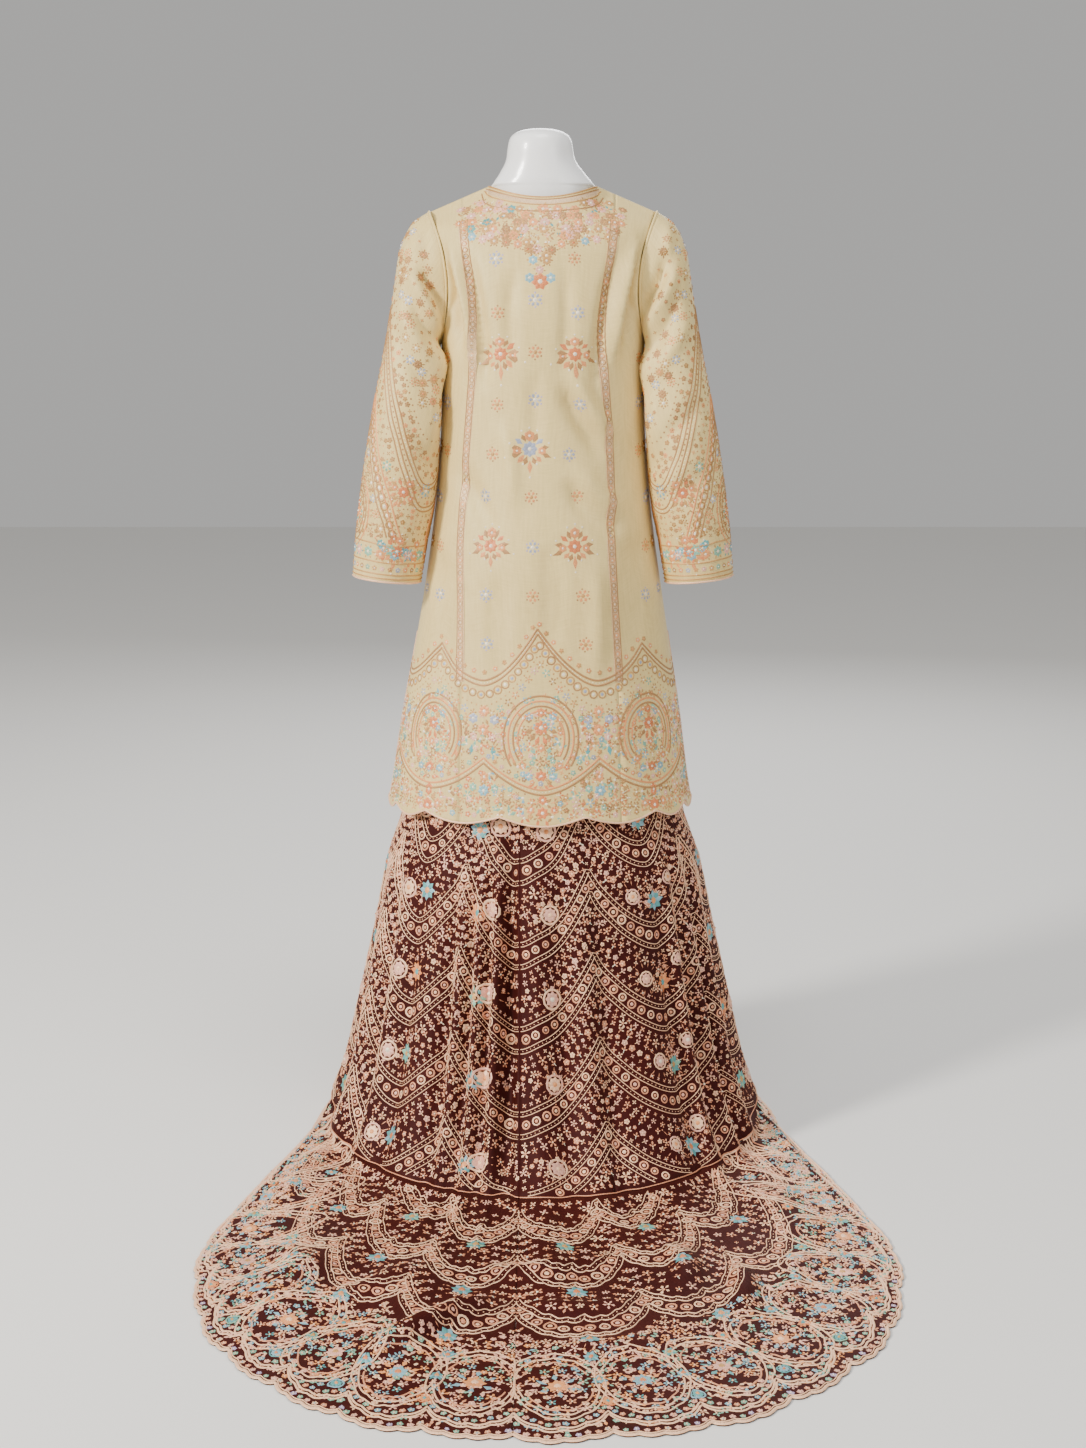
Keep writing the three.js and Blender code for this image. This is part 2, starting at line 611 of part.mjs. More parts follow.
// The columns of a panel between two places round the leg, short of each seam by half its gap
function legColumns(from, to, halfGap) {
  const columns = [...new Set(allColumns)].filter((share) => share >= from && share <= to);
  if (from > 0) columns[0] += halfGap;
  if (to < 1) columns[columns.length - 1] -= halfGap;
  return columns;
}
const goreRows = [...legRows.keys()];
const kneeGap = 0.04; // in rows, between the gores and the train panels
const trainRows = [kneeRow + kneeGap, kneeRow + 0.5, kneeRow + 1, kneeRow + 2, kneeRow + 3, kneeRow + 4];
const legSeam = (round) => (round <= gapShare || round >= 1 - gapShare ? new THREE.Vector3(1, 0, 0) : null);
for (const [side, direction] of [["left", -1], ["right", 1]]) {
  const surface = legSurface(side);
  const at = (round, row) => surface(round, row).add(new THREE.Vector3((direction * seamGap) / 2, 0, 0));
  const panel = (name, us, vs) => {
    const geometry = wall({ at, us, vs, thickness: clothThickness, turn: -direction, seamPlane: legSeam });
    add(`sharara_${side}_${name}`, geometry, "maroon");
  };
  for (const { name, from, to } of gores) panel(`${name}_gore`, legColumns(from, to, gapShare), goreRows);
  panel("train", legColumns(0, 0.5, sideGapShare), trainRows);
  panel("front_flare", legColumns(0.5, 1, sideGapShare), trainRows);

  // The inner side of the leg hangs from the crotch in a flat sheet beside the line between the legs
  const crotchRow = 3;
  const inset = (row) => (row < 5 ? clothThickness + 0.7 : 6); // from the gores' outer face
  const rows = goreRows.filter((row) => row >= crotchRow && row < kneeRow);
  const edge = (round, row) => {
    const { y, z } = at(round, row);
    return new THREE.Vector2(y + inset(row) * (round ? -1 : 1), row === kneeRow - 1 ? base.height + 4 : z);
  };
  const behind = rows.map((row) => edge(0, row));
  const before = rows.map((row) => edge(1, row)).reverse();
  const shape = new THREE.Shape([...behind, ...before]);
  const sheet = new THREE.ExtrudeGeometry(shape, { depth: clothThickness, bevelEnabled: false, steps: 1 });
  sheet.applyMatrix4(new THREE.Matrix4().set(0, 0, 1, 0, 1, 0, 0, 0, 0, 1, 0, 0, 0, 0, 0, 1));
  sheet.translate(direction > 0 ? legLineX + seamGap / 2 : legLineX - seamGap / 2 - clothThickness, 0, 0);
  add(`sharara_${side}_inner_leg`, sheet, "maroon");
}

// The waistband sits on the form just above its hips
const waistbandAt = (share, place) => {
  const [high, low] = [formSections.find((s) => s.z === waistTop), waist];
  const section = {
    z: mix(high.z, low.z, place), side: mix(high.side, low.side, place),
    back: mix(high.back, low.back, place), front: mix(high.front, low.front, place),
  };
  const point = ovalPoint(section, share * 2 * Math.PI);
  const out = new THREE.Vector3(point.x, point.y, 0).normalize();
  return point.addScaledVector(out, bandShift);
};
add(
  "sharara_waistband",
  wall({
    at: waistbandAt, us: steps(formColumns).slice(0, -1), vs: [0, 1],
    thickness: clothThickness, turn: -1, closed: true,
  }),
  "maroon",
);

export default suit;
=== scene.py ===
import math

import bpy
import numpy as np
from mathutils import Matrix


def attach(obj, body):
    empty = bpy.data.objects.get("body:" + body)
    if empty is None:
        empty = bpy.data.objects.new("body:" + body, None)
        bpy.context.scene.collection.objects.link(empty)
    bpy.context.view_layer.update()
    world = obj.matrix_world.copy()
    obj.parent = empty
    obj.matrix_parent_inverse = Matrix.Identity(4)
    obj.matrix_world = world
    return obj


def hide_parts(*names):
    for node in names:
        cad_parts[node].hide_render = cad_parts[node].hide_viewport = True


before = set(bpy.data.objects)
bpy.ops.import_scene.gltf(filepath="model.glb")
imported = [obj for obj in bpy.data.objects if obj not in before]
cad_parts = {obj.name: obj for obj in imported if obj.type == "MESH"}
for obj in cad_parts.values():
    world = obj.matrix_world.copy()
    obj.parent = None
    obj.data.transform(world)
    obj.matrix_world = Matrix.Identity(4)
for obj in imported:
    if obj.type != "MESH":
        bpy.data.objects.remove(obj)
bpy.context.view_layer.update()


# The camera stands behind the suit, a little above its middle, and looks down at it.
view = {"away": 3.3, "height": 1.267, "down": 11.0, "lens": 54.7}
cameraData = bpy.data.cameras.new("camera")
cameraData.lens = view["lens"]
cameraData.sensor_width = 36
camera = bpy.data.objects.new("camera", cameraData)
camera.location = (0, -view["away"], view["height"])
camera.rotation_euler = (math.radians(90 - view["down"]), 0, 0)
bpy.context.collection.objects.link(camera)
bpy.context.scene.camera = camera


# Small sums that every piece uses
def ease(t):
    # a smooth step from 0 to 1
    t = np.clip(t, 0, 1)
    return t * t * (3 - 2 * t)


def mix(a, b, t):
    return a + (b - a) * t


def unit(vectors):
    return vectors / np.maximum(np.linalg.norm(vectors, axis=-1, keepdims=True), 1e-12)


def through(knots, place):
    # A cubic through equally spaced knots along the first axis, with the harmonic mean of the two
    # neighbouring rises as its slope, or 0 where they differ in sign, so it never swings past a knot.
    knots = np.asarray(knots, float)
    rise = np.diff(knots, axis=0)
    before, after = rise[:-1], rise[1:]
    total = np.where(np.abs(before + after) < 1e-12, 1, before + after)
    middle = np.where(before * after <= 0, 0, 2 * before * after / total)
    slope = np.concatenate([rise[:1], middle, rise[-1:]])
    place = np.clip(np.asarray(place, float), 0, len(knots) - 1)
    i = np.minimum(place.astype(int), len(knots) - 2)
    t = (place - i).reshape(place.shape + (1,) * (knots.ndim - 1))
    return (
        (2 * t**3 - 3 * t**2 + 1) * knots[i]
        + (t**3 - 2 * t**2 + t) * slope[i]
        + (3 * t**2 - 2 * t**3) * knots[i + 1]
        + (t**3 - t**2) * slope[i + 1]
    )


def running(points):
    # the length run along each line of points, at each point
    steps = np.linalg.norm(np.diff(points, axis=0), axis=-1)
    return np.concatenate([np.zeros_like(steps[:1]), np.cumsum(steps, axis=0)])


def resample(at, knots, points):
    # a line's points at other places along it
    return np.stack([np.interp(at, knots, points[:, axis]) for axis in range(3)], axis=1)


def evenRows(grid, count, shrink=0):
    # The same columns cut into count equal lengths, by each column's own running length. shrink takes that
    # many metres off a column's end.
    run = running(grid)
    lengths = run[-1] - shrink
    shares = np.linspace(0, 1, count + 1)
    columns = range(grid.shape[1])
    return np.stack([resample(shares * lengths[k], run[:, k], grid[:, k]) for k in columns], axis=1)


# Meshes
def meshPiece(name, points, faces, material, slot=None, tints=None, uv=None):
    mesh = bpy.data.meshes.new(name)
    points = np.asarray(points, np.float32)
    faces = np.asarray(faces, np.int32)
    sides = faces.shape[1]
    mesh.vertices.add(len(points))
    mesh.vertices.foreach_set("co", points.ravel())
    mesh.loops.add(faces.size)
    mesh.loops.foreach_set("vertex_index", faces.ravel())
    mesh.polygons.add(len(faces))
    mesh.polygons.foreach_set("loop_start", np.arange(len(faces), dtype=np.int32) * sides)
    mesh.polygons.foreach_set("use_smooth", np.full(len(faces), True))
    if uv is not None:
        layer = mesh.uv_layers.new(name="cut")
        layer.data.foreach_set("uv", np.asarray(uv, np.float32)[faces.ravel()].ravel())
    if tints is not None:
        rgba = np.ones((len(points), 4), np.float32)
        rgba[:, :3] = tints
        attribute = mesh.attributes.new("tint", "FLOAT_COLOR", "POINT")
        attribute.data.foreach_set("color", rgba.ravel())
    mesh.update(calc_edges=True)
    mesh.validate()
    piece = bpy.data.objects.new(name, mesh)
    bpy.context.collection.objects.link(piece)
    mesh.materials.append(material)
    if slot:
        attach(piece, "root")
    return piece


def gridFaces(rows, columns, flip=False):
    # two sums of indices give the four corners of every cell of a grid
    corner = (np.arange(rows - 1)[:, None] * columns + np.arange(columns - 1)[None]).ravel()
    quad = np.stack([corner, corner + 1, corner + columns + 1, corner + columns], axis=1)
    return quad[:, ::-1] if flip else quad


def tubeFaces(rings, sides, joined=False):
    # the cells between a tube's rings, and between its last and its first where they are joined
    i, k = np.meshgrid(np.arange(rings if joined else rings - 1), np.arange(sides), indexing="ij")
    here, after, beside = i * sides, (i + 1) % rings * sides, (k + 1) % sides
    return np.stack([here + k, here + beside, after + beside, after + k], axis=-1).reshape(-1, 4)


def ovalRing(section, angle):
    # A ring whose section is its height and its reach to each side, backwards and forwards
    z, side, back, front = section
    depth = np.where(np.cos(angle) > 0, back, front)
    return np.stack([side * np.sin(angle), -depth * np.cos(angle), z + 0 * angle], axis=-1)


panels, embroidery = {}, {}


class Chart:
    # A cloth's outer face as a grid of points, grid[row, column], on which stitches are placed. up is 1
    # where the rows climb the garment and -1 where they go down it. A closed chart's last column repeats
    # its first.
    def __init__(self, grid, outward, up=1, closed=False):
        self.grid, self.up, self.closed = grid, up, closed
        if closed:
            wide = np.concatenate([grid[:, -2:-1], grid, grid[:, 1:2]], axis=1)
            self.across = np.gradient(wide, axis=1)[:, 1:-1]
        else:
            self.across = np.gradient(grid, axis=1)
        self.down = np.gradient(grid, axis=0)
        self.normal = outward * unit(np.cross(self.across, self.down))
        self.flip = outward < 0
        self.rows, self.columns = grid.shape[0] - 1, grid.shape[1] - 1
        self.lengths = running(grid)[-1]

    def sample(self, field, u, v):
        rows, columns = field.shape[:2]
        u = np.mod(u, columns - 1) if self.closed else u
        u = np.clip(u, 0, columns - 1 - 1e-6)
        v = np.clip(v, 0, rows - 1 - 1e-6)
        i, j = u.astype(int), v.astype(int)
        s, t = (u - i)[..., None], (v - j)[..., None]
        near = field[j, i] * (1 - s) + field[j, i + 1] * s
        far = field[j + 1, i] * (1 - s) + field[j + 1, i + 1] * s
        return near * (1 - t) + far * t

    def on(self, u, v, lift=0.0):
        lift = np.asarray(lift)[..., None]
        return self.sample(self.grid, u, v) + lift * self.sample(self.normal, u, v)

    def step(self, u, v, dx, dy):
        # The place dx metres along the row and dy up the cloth from a place, by the chart's own slopes there
        u, v, dx, dy = np.broadcast_arrays(*(np.atleast_1d(part) for part in (u, v, dx, dy)))
        along, down = self.sample(self.across, u, v), self.sample(self.down, u, v)
        width = np.linalg.norm(along, axis=-1)
        east = along / np.maximum(width, 1e-9)[..., None]
        lean = np.sum(down * east, axis=-1)
        rise = np.linalg.norm(down - lean[..., None] * east, axis=-1)
        rise = np.maximum(rise, 0.4 * np.linalg.norm(down, axis=-1))
        dv = self.up * dy / np.maximum(rise, 1e-6)
        return u + (dx - dv * lean) / np.maximum(width, 1e-6), v + dv

    def lengthAt(self, u):
        return np.interp(u, np.arange(self.columns + 1), self.lengths)

    def rowAt(self, u, fromEnd):
        # The row that lies a length from the columns' ends
        return self.rows * (1 - fromEnd / self.lengthAt(u))

    def compass(self, u, v):
        # The unit vectors along the row and up the cloth
        east = unit(self.sample(self.across, u, v))
        down = self.sample(self.down, u, v)
        return east, self.up * unit(down - np.sum(down * east, axis=-1)[..., None] * east)

    def seek(self, x, z):
        # The place whose point has that x and z: the nearest grid point, then three Newton steps
        x, z = np.broadcast_arrays(np.asarray(x, float), np.asarray(z, float))
        shape = x.shape
        x, z = x.ravel(), z.ravel()
        flat = self.grid.reshape(-1, 3)
        rows, columns = self.grid.shape[:2]
        gap = (flat[None, :, 0] - x[:, None]) ** 2 + (flat[None, :, 2] - z[:, None]) ** 2
        near = gap.argmin(axis=1)
        u, v = (near % columns).astype(float), (near // columns).astype(float)
        for _ in range(3):
            here = self.sample(self.grid, u, v)
            along, down = self.sample(self.across, u, v), self.sample(self.down, u, v)
            missX, missZ = x - here[:, 0], z - here[:, 2]
            det = along[:, 0] * down[:, 2] - along[:, 2] * down[:, 0]
            det = np.where(np.abs(det) < 1e-9, 1e-9, det)
            u = np.clip(u + np.clip((missX * down[:, 2] - missZ * down[:, 0]) / det, -2, 2), 0, columns - 1)
            v = np.clip(v + np.clip((missZ * along[:, 0] - missX * along[:, 2]) / det, -2, 2), 0, rows - 1)
        return u.reshape(shape), v.reshape(shape)

    def even(self, u, v, pitch, inset=0.5):
        # Places at equal lengths along a line, and the line's own direction there in the cloth's plane
        run = running(self.on(u, v))
        count = max(int(run[-1] / pitch), 1)
        marks = (np.arange(count) + inset) / count * run[-1]
        uAt, vAt = np.interp(marks, run, u), np.interp(marks, run, v)
        uOn = np.interp(np.minimum(marks + 1e-3, run[-1]), run, u)
        vOn = np.interp(np.minimum(marks + 1e-3, run[-1]), run, v)
        east, north = self.compass(uAt, vAt)
        way = self.on(uOn, vOn) - self.on(uAt, vAt)
        return uAt, vAt, np.arctan2(np.sum(way * north, axis=1), np.sum(way * east, axis=1) + 1e-12)

    def panel(self, name, look, columns=None):
        # The panel between two columns, with its wall inside the outer face, in place of the CAD's
        thickness, material, slot = look
        first, last = columns or (0, self.columns)
        part = self.grid[:, first:last + 1]
        points, faces = part.reshape(-1, 3), gridFaces(*part.shape[:2], flip=self.flip)
        run = np.cumsum(np.linalg.norm(np.diff(part, axis=1, prepend=part[:, :1]), axis=2), axis=1)
        drop = np.cumsum(np.linalg.norm(np.diff(part, axis=0, prepend=part[:1]), axis=2), axis=0)
        run -= run.mean(axis=1, keepdims=True)
        uv = np.stack([run.ravel(), drop.ravel()], axis=1)
        cloth = meshPiece(f"{name}_cloth", points, faces, material, slot, uv=uv)
        if self.closed:
            weld = cloth.modifiers.new("seam", "WELD")
            weld.merge_threshold = 1e-5
        wall = cloth.modifiers.new("wall", "SOLIDIFY")
        wall.thickness = thickness
        wall.offset = -1
        wall.use_even_offset = False
        corner = part[:-1, :-1]
        cuts = np.linalg.norm(np.cross(part[1:, :-1] - corner, part[:-1, 1:] - corner), axis=2)
        width = float(np.ptp(run, axis=1).max())
        length = float(drop[-1].max())
        cloth["cut"] = [width, length, float(min(cuts.sum(), width * length))]
        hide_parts(name)
        panels[name] = cloth


# Stitches: small raised shapes, each a few faces, that follow the cloth point by point
def bunch(*parts):
    points, faces, shades, count = [], [], [], 0
    for point, face, shade in parts:
        points.append(point)
        faces.append(face + count)
        shades.append(shade)
        count += len(point)
    return np.concatenate(points), np.concatenate(faces), np.concatenate(shades)


def petal(x, y, degrees, length, width, shade, high=0.0011, fat=0.55):
    # a root, two shoulders, a tip, and a raised middle that fans to them
    angle = math.radians(degrees)
    along, side = np.array([math.cos(angle), math.sin(angle)]), np.array([-math.sin(angle), math.cos(angle)])
    root = np.array([x, y])
    flat = [
        root, root + along * length * fat + side * width / 2, root + along * length,
        root + along * length * fat - side * width / 2, root + along * length * fat * 0.95,
    ]
    points = np.array([[*p, 0] for p in flat])
    points[4, 2] = high
    faces = np.array([[0, 4, 1], [1, 4, 2], [2, 4, 3], [3, 4, 0]])
    return points, faces, np.full(5, shade)


def disc(x, y, radius, shade, high=0.0012, sides=6):
    # a ring of points round a raised one
    angle = np.arange(sides) / sides * 2 * np.pi
    rim = np.stack([x + radius * np.cos(angle), y + radius * np.sin(angle), np.zeros(sides)], axis=1)
    points = np.concatenate([rim, [[x, y, high]]])
    i = np.arange(sides)
    faces = np.stack([i, (i + 1) % sides, np.full(sides, sides)], axis=1)
    return points, faces, np.full(sides + 1, shade)


def ring(radius, width, shade, high=0.001, sides=8):
    # three rounds of points, of which the middle one is raised
    angle = np.arange(sides) / sides * 2 * np.pi
    rounds = [
        np.stack([r * np.cos(angle), r * np.sin(angle), np.full(sides, h)], axis=1)
        for r, h in ((radius - width / 2, 0), (radius, high), (radius + width / 2, 0))
    ]
    i = np.arange(sides)
    nextOne = (i + 1) % sides
    faces = [
        np.concatenate([
            np.stack([i + k * sides, i + (k + 1) * sides, nextOne + (k + 1) * sides], axis=1),
            np.stack([i + k * sides, nextOne + (k + 1) * sides, nextOne + k * sides], axis=1),
        ])
        for k in (0, 1)
    ]
    return np.concatenate(rounds), np.concatenate(faces), np.full(3 * sides, shade)


def spokes(radius, turns, length, width, shade=0, high=0.0011, fat=0.55, x=0.0, y=0.0):
    # petals that point outward from a round, one at each turn in degrees
    return bunch(*(petal(x + radius * math.cos(math.radians(d)), y + radius * math.sin(math.radians(d)), d,
                         length, width, shade, high, fat) for d in turns))


def dots(radius, turns, size, shade, high, sides):
    # discs on a round, one at each turn in degrees
    return bunch(*(disc(radius * math.cos(math.radians(d)), radius * math.sin(math.radians(d)), size, shade,
                        high, sides) for d in turns))


def flower(radius, petals, shade=0, x=0.0, y=0.0, wide=0.85, high=0.0014):
    width = wide * 2 * radius * math.sin(math.pi / petals)
    turns = [90 + k * 360 / petals for k in range(petals)]
    return bunch(spokes(0, turns, radius, width, shade, high, 0.62, x, y),
                 disc(x, y, radius * 0.3, 1, high * 1.5))


def flowerPair(radius, petals, shade, x, y, **more):
    return bunch(*(flower(radius, petals, shade, sign * x, y, **more) for sign in (-1, 1)))


def rays(radius, reach, count, shade):
    # thin stitches round a flower, each with a seed bead at its end
    parts = []
    for k in range(count):
        degrees = k * 360 / count
        cos, sin = math.cos(math.radians(degrees)), math.sin(math.radians(degrees))
        parts.append(petal(radius * cos, radius * sin, degrees, reach - radius, 0.0016, shade, 0.0008))
        parts.append(disc((reach + 0.001) * cos, (reach + 0.001) * sin, 0.0012, shade, 0.001, 5))
    return bunch(*parts)


class Stitching:
    # Collects stitches on one chart and makes them one piece.
    def __init__(self, chart, seed):
        self.chart, self.points, self.faces, self.tints, self.count = chart, [], [], [], 0
        self.random = np.random.default_rng(seed)
        self.anchors = []

    def keep(self, points, faces, tints):
        self.points.append(points.reshape(-1, 3))
        self.faces.append(faces.reshape(-1, 3) + self.count)
        self.tints.append(np.broadcast_to(tints, points.shape).reshape(-1, 3))
        self.count += points.size // 3

    def stamp(self, motif, u, v, palettes, turn=0.0, size=1.0, loose=0.06):
        # Lays the motif at each place. palettes is one list of colours, or one for each place.
        shape, faces, shades = motif
        u, v = np.atleast_1d(np.asarray(u, float)), np.atleast_1d(np.asarray(v, float))
        if not len(u):
            return
        self.anchors.append(self.chart.on(u, v))
        palettes = np.asarray(palettes, float)
        if palettes.ndim == 2:
            palettes = np.broadcast_to(palettes, (len(u), *palettes.shape))
        turn = np.broadcast_to(turn, u.shape) + self.random.normal(0, loose, u.shape)
        size = np.broadcast_to(size, u.shape) * (1 + self.random.normal(0, loose * 0.6, u.shape))
        cos, sin = np.cos(turn)[:, None], np.sin(turn)[:, None]
        dx = size[:, None] * (cos * shape[None, :, 0] - sin * shape[None, :, 1])
        dy = size[:, None] * (sin * shape[None, :, 0] + cos * shape[None, :, 1])
        uu, vv = self.chart.step(u[:, None], v[:, None], dx, dy)
        lift = np.broadcast_to(shape[None, :, 2], uu.shape) - 0.0002
        points = self.chart.on(uu, vv, lift)
        count = len(shape)
        blocks = faces[None] + (np.arange(len(u)) * count)[:, None, None]
        light = 1 + self.random.normal(0, 0.07, (len(u), 1, 1))
        self.keep(points, blocks, np.clip(palettes[:, shades] * light, 0, 1))

    def cord(self, u, v, width, high, colour, sunk=0.0002):
        # A raised line: to each side of it a foot in the cloth, and between them a ridge
        u, v = np.atleast_2d(u), np.atleast_2d(v)
        middle, normal = self.chart.on(u, v), self.chart.sample(self.chart.normal, u, v)
        way = unit(np.gradient(middle, axis=1))
        side = unit(np.cross(normal, way)) * width / 2
        strip = np.stack([middle - side - normal * sunk, middle + normal * high,
                          middle + side - normal * sunk], axis=2)
        lines, count = u.shape
        i = np.arange(count - 1)[:, None] * 3 + np.arange(2)[None]
        quad = np.stack([i, i + 1, i + 4, i + 3], axis=-1).reshape(-1, 4)
        tri = np.concatenate([quad[:, [0, 1, 2]], quad[:, [0, 2, 3]]])[:, ::-1]
        faces = tri[None] + (np.arange(lines) * count * 3)[:, None, None]
        self.keep(strip, faces, np.array(dye[colour]))

    def double(self, u, v, gap, width, high, colour, bead, pitch, beadColour):
        # Two cords side by side, a gap apart, with a row of beads between them
        for sign in (-1, 1):
            self.cord(*self.aside(u, v, sign * gap / 2), width, high, colour)
        self.row(bead, u, v, pitch, shades(beadColour))

    def aside(self, u, v, distance):
        # The line moved sideways in the cloth
        line = self.chart.on(u, v)
        normal = self.chart.sample(self.chart.normal, u, v)
        side = unit(np.cross(normal, unit(np.gradient(line, axis=0)))) * distance
        east, north = self.chart.compass(u, v)
        return self.chart.step(u, v, np.sum(side * east, axis=1), np.sum(side * north, axis=1))

    def row(self, motif, u, v, pitch, palettes, size=1.0, turn=0.0, inset=0.5, loose=0.06, skip=0):
        # The motif at equal steps along a line, turned with it. Palettes are used one after another.
        uAt, vAt, angle = self.chart.even(np.asarray(u), np.asarray(v), pitch, inset)
        palettes = np.asarray(palettes, float)
        if palettes.ndim == 3:
            palettes = palettes[(np.arange(len(uAt)) + skip) % len(palettes)]
        self.stamp(motif, uAt, vAt, palettes, angle + turn, size, loose)

    def clear(self, u, v, room):
        # True for each place that is farther than room from all that was stamped so far
        points = self.chart.on(u, v)
        anchors = np.concatenate(self.anchors) if self.anchors else np.zeros((0, 3))
        free = np.ones(len(u), bool)
        for start in range(0, len(anchors), 800):
            gap = np.linalg.norm(points[:, None] - anchors[None, start:start + 800], axis=2)
            free &= gap.min(axis=1) > room
        return free

    def piece(self, of, suffix="embroidery"):
        points, faces, tints = (np.concatenate(part) for part in (self.points, self.faces, self.tints))
        made = meshPiece(f"{of}_{suffix}", points, faces, zariThread, "braid", tints=tints)
        embroidery[of] = made
        if suffix == "braid":
            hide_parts(of)
        print("  ", made.name, len(made.data.polygons), "faces")


# Materials
def newMaterial(name):
    material = bpy.data.materials.new(name)
    material.use_nodes = True
    tree = material.node_tree
    tree.nodes.clear()
    output = tree.nodes.new("ShaderNodeOutputMaterial")
    shader = tree.nodes.new("ShaderNodeBsdfPrincipled")
    tree.links.new(shader.outputs[0], output.inputs[0])
    return material, tree, shader


def feed(tree, target, inputs):
    # Gives each input a value, or links it to a socket or to a node's first output
    for key, value in inputs.items():
        if isinstance(value, bpy.types.Node):
            value = value.outputs[0]
        if isinstance(value, bpy.types.NodeSocket):
            tree.links.new(value, target.inputs[key])
        else:
            target.inputs[key].default_value = value


def node(tree, kind, inputs=None, **settings):
    made = tree.nodes.new("ShaderNode" + kind)
    for key, value in settings.items():
        setattr(made, key, value)
    feed(tree, made, inputs or {})
    return made


def noise(tree, place, scale, detail, stretch=None):
    if stretch:
        place = node(tree, "Mapping", {"Vector": place, "Scale": stretch})
    return node(tree, "TexNoise", {"Vector": place, "Scale": scale, "Detail": detail})


def colourRamp(tree, value, dark, light, low=0.0, high=1.0):
    ramp = node(tree, "ValToRGB", {0: value})
    for element, position, colour in zip(ramp.color_ramp.elements, (low, high), (dark, light)):
        element.position = position
        element.color = (*colour, 1)
    return ramp


def clothGroup():
    # Silk's ground: fine threads both ways, thicker slubs along the weft, and slow changes of tone.
    # It takes the place on the cloth in metres and gives a tone from 0 to 1 and a height from 0 to 1.
    tree = bpy.data.node_groups.new("silkGround", "ShaderNodeTree")
    for name, way, kind in (("Place", "INPUT", "Vector"), ("Object Place", "INPUT", "Vector"),
                            ("Threads per metre", "INPUT", "Float"), ("Slub", "INPUT", "Float"),
                            ("Tone", "OUTPUT", "Float"), ("Height", "OUTPUT", "Float")):
        tree.interface.new_socket(name, in_out=way, socket_type="NodeSocket" + kind)
    enter, leave = tree.nodes.new("NodeGroupInput"), tree.nodes.new("NodeGroupOutput")
    place = enter.outputs["Place"]

    def work(operation, *values):
        return node(tree, "Math", dict(enumerate(values)), operation=operation)

    split = node(tree, "SeparateXYZ", {0: place})
    waves = []
    for axis in (0, 1):
        count = work("MULTIPLY", split.outputs[axis], enter.outputs["Threads per metre"])
        waves.append(work("SINE", work("MULTIPLY", count, 2 * math.pi)))
    both = work("ADD", noise(tree, place, 38.0, 5.0, (1, 16, 1)), noise(tree, place, 30.0, 3.0, (10, 1, 1)))
    streak = work("MULTIPLY", both, enter.outputs["Slub"])
    slow = noise(tree, enter.outputs["Object Place"], 5.0, 3.0)
    feed(tree, leave, {"Tone": work("MULTIPLY_ADD", slow, 0.55, streak),
                       "Height": work("MULTIPLY_ADD", work("MULTIPLY", *waves), 0.1, streak)})
    return tree


silkGround = clothGroup()


def clothMaterial(name, look):
    material, tree, shader = newMaterial(name)
    ground = node(tree, "Group")
    ground.node_tree = silkGround
    feed(tree, ground, {"Place": node(tree, "UVMap", uv_map="cut"),
                        "Object Place": node(tree, "TexCoord").outputs["Object"],
                        "Threads per metre": look["threads"], "Slub": look["slub"]})
    tone = ground.outputs["Tone"]
    feed(tree, shader, {
        "Base Color": colourRamp(tree, tone, look["dark"], look["light"], 0.45, 1.05),
        "Roughness": node(tree, "MapRange", {"Value": tone, "From Min": 0.4, "From Max": 1.1,
                                             "To Min": look["rough"] + 0.08,
                                              "To Max": look["rough"] - 0.06}),
        "Normal": node(tree, "Bump", {"Height": ground.outputs["Height"], "Strength": look["relief"],
                                      "Distance": 0.0006}),
        "Sheen Weight": look["sheen"], "Sheen Roughness": 0.4, "Sheen Tint": (*look["sheenTint"], 1),
        "Specular IOR Level": look["specular"],
    })
    return material


kurtaLook = {
    "dark": (0.61, 0.448, 0.16), "light": (0.82, 0.632, 0.258), "threads": 1100, "slub": 0.5,
    "rough": 0.52, "relief": 0.35, "sheen": 0.25, "sheenTint": (1.0, 0.95, 0.85), "specular": 0.45,
}
shararaLook = {
    "dark": (0.021, 0.0012, 0.0006), "light": (0.052, 0.0032, 0.0016), "threads": 1000, "slub": 0.45,
    "rough": 0.66, "relief": 0.35, "sheen": 0.03, "sheenTint": (0.7, 0.2, 0.12), "specular": 0.15,
}
kurtaSilk = clothMaterial("kurtaSilk", kurtaLook)
shararaSilk = clothMaterial("shararaSilk", shararaLook)
# a wall's thickness, its material and its slot
kurtaCloth, shararaCloth = (0.0018, kurtaSilk, "silk"), (0.0018, shararaSilk, "maroon")


def threadMaterial():
    # Thread: its own colour, with a fine twist that lightens and darkens it and stands in low relief
    material, tree, shader = newMaterial("zariThread")
    twist = noise(tree, node(tree, "TexCoord").outputs["Object"], 900.0, 2.0)
    light = node(tree, "MapRange", {"Value": twist, "From Min": 0.3, "From Max": 0.7, "To Min": 0.72,
                                    "To Max": 1.25})
    tint = node(tree, "Attribute", attribute_name="tint")
    feed(tree, shader, {
        "Base Color": node(tree, "VectorMath", {0: tint.outputs["Color"], 1: light}, operation="MULTIPLY"),
        "Normal": node(tree, "Bump", {"Height": twist, "Strength": 0.5, "Distance": 0.0005}),
        "Roughness": 0.48, "Metallic": 0.18,
    })
    return material


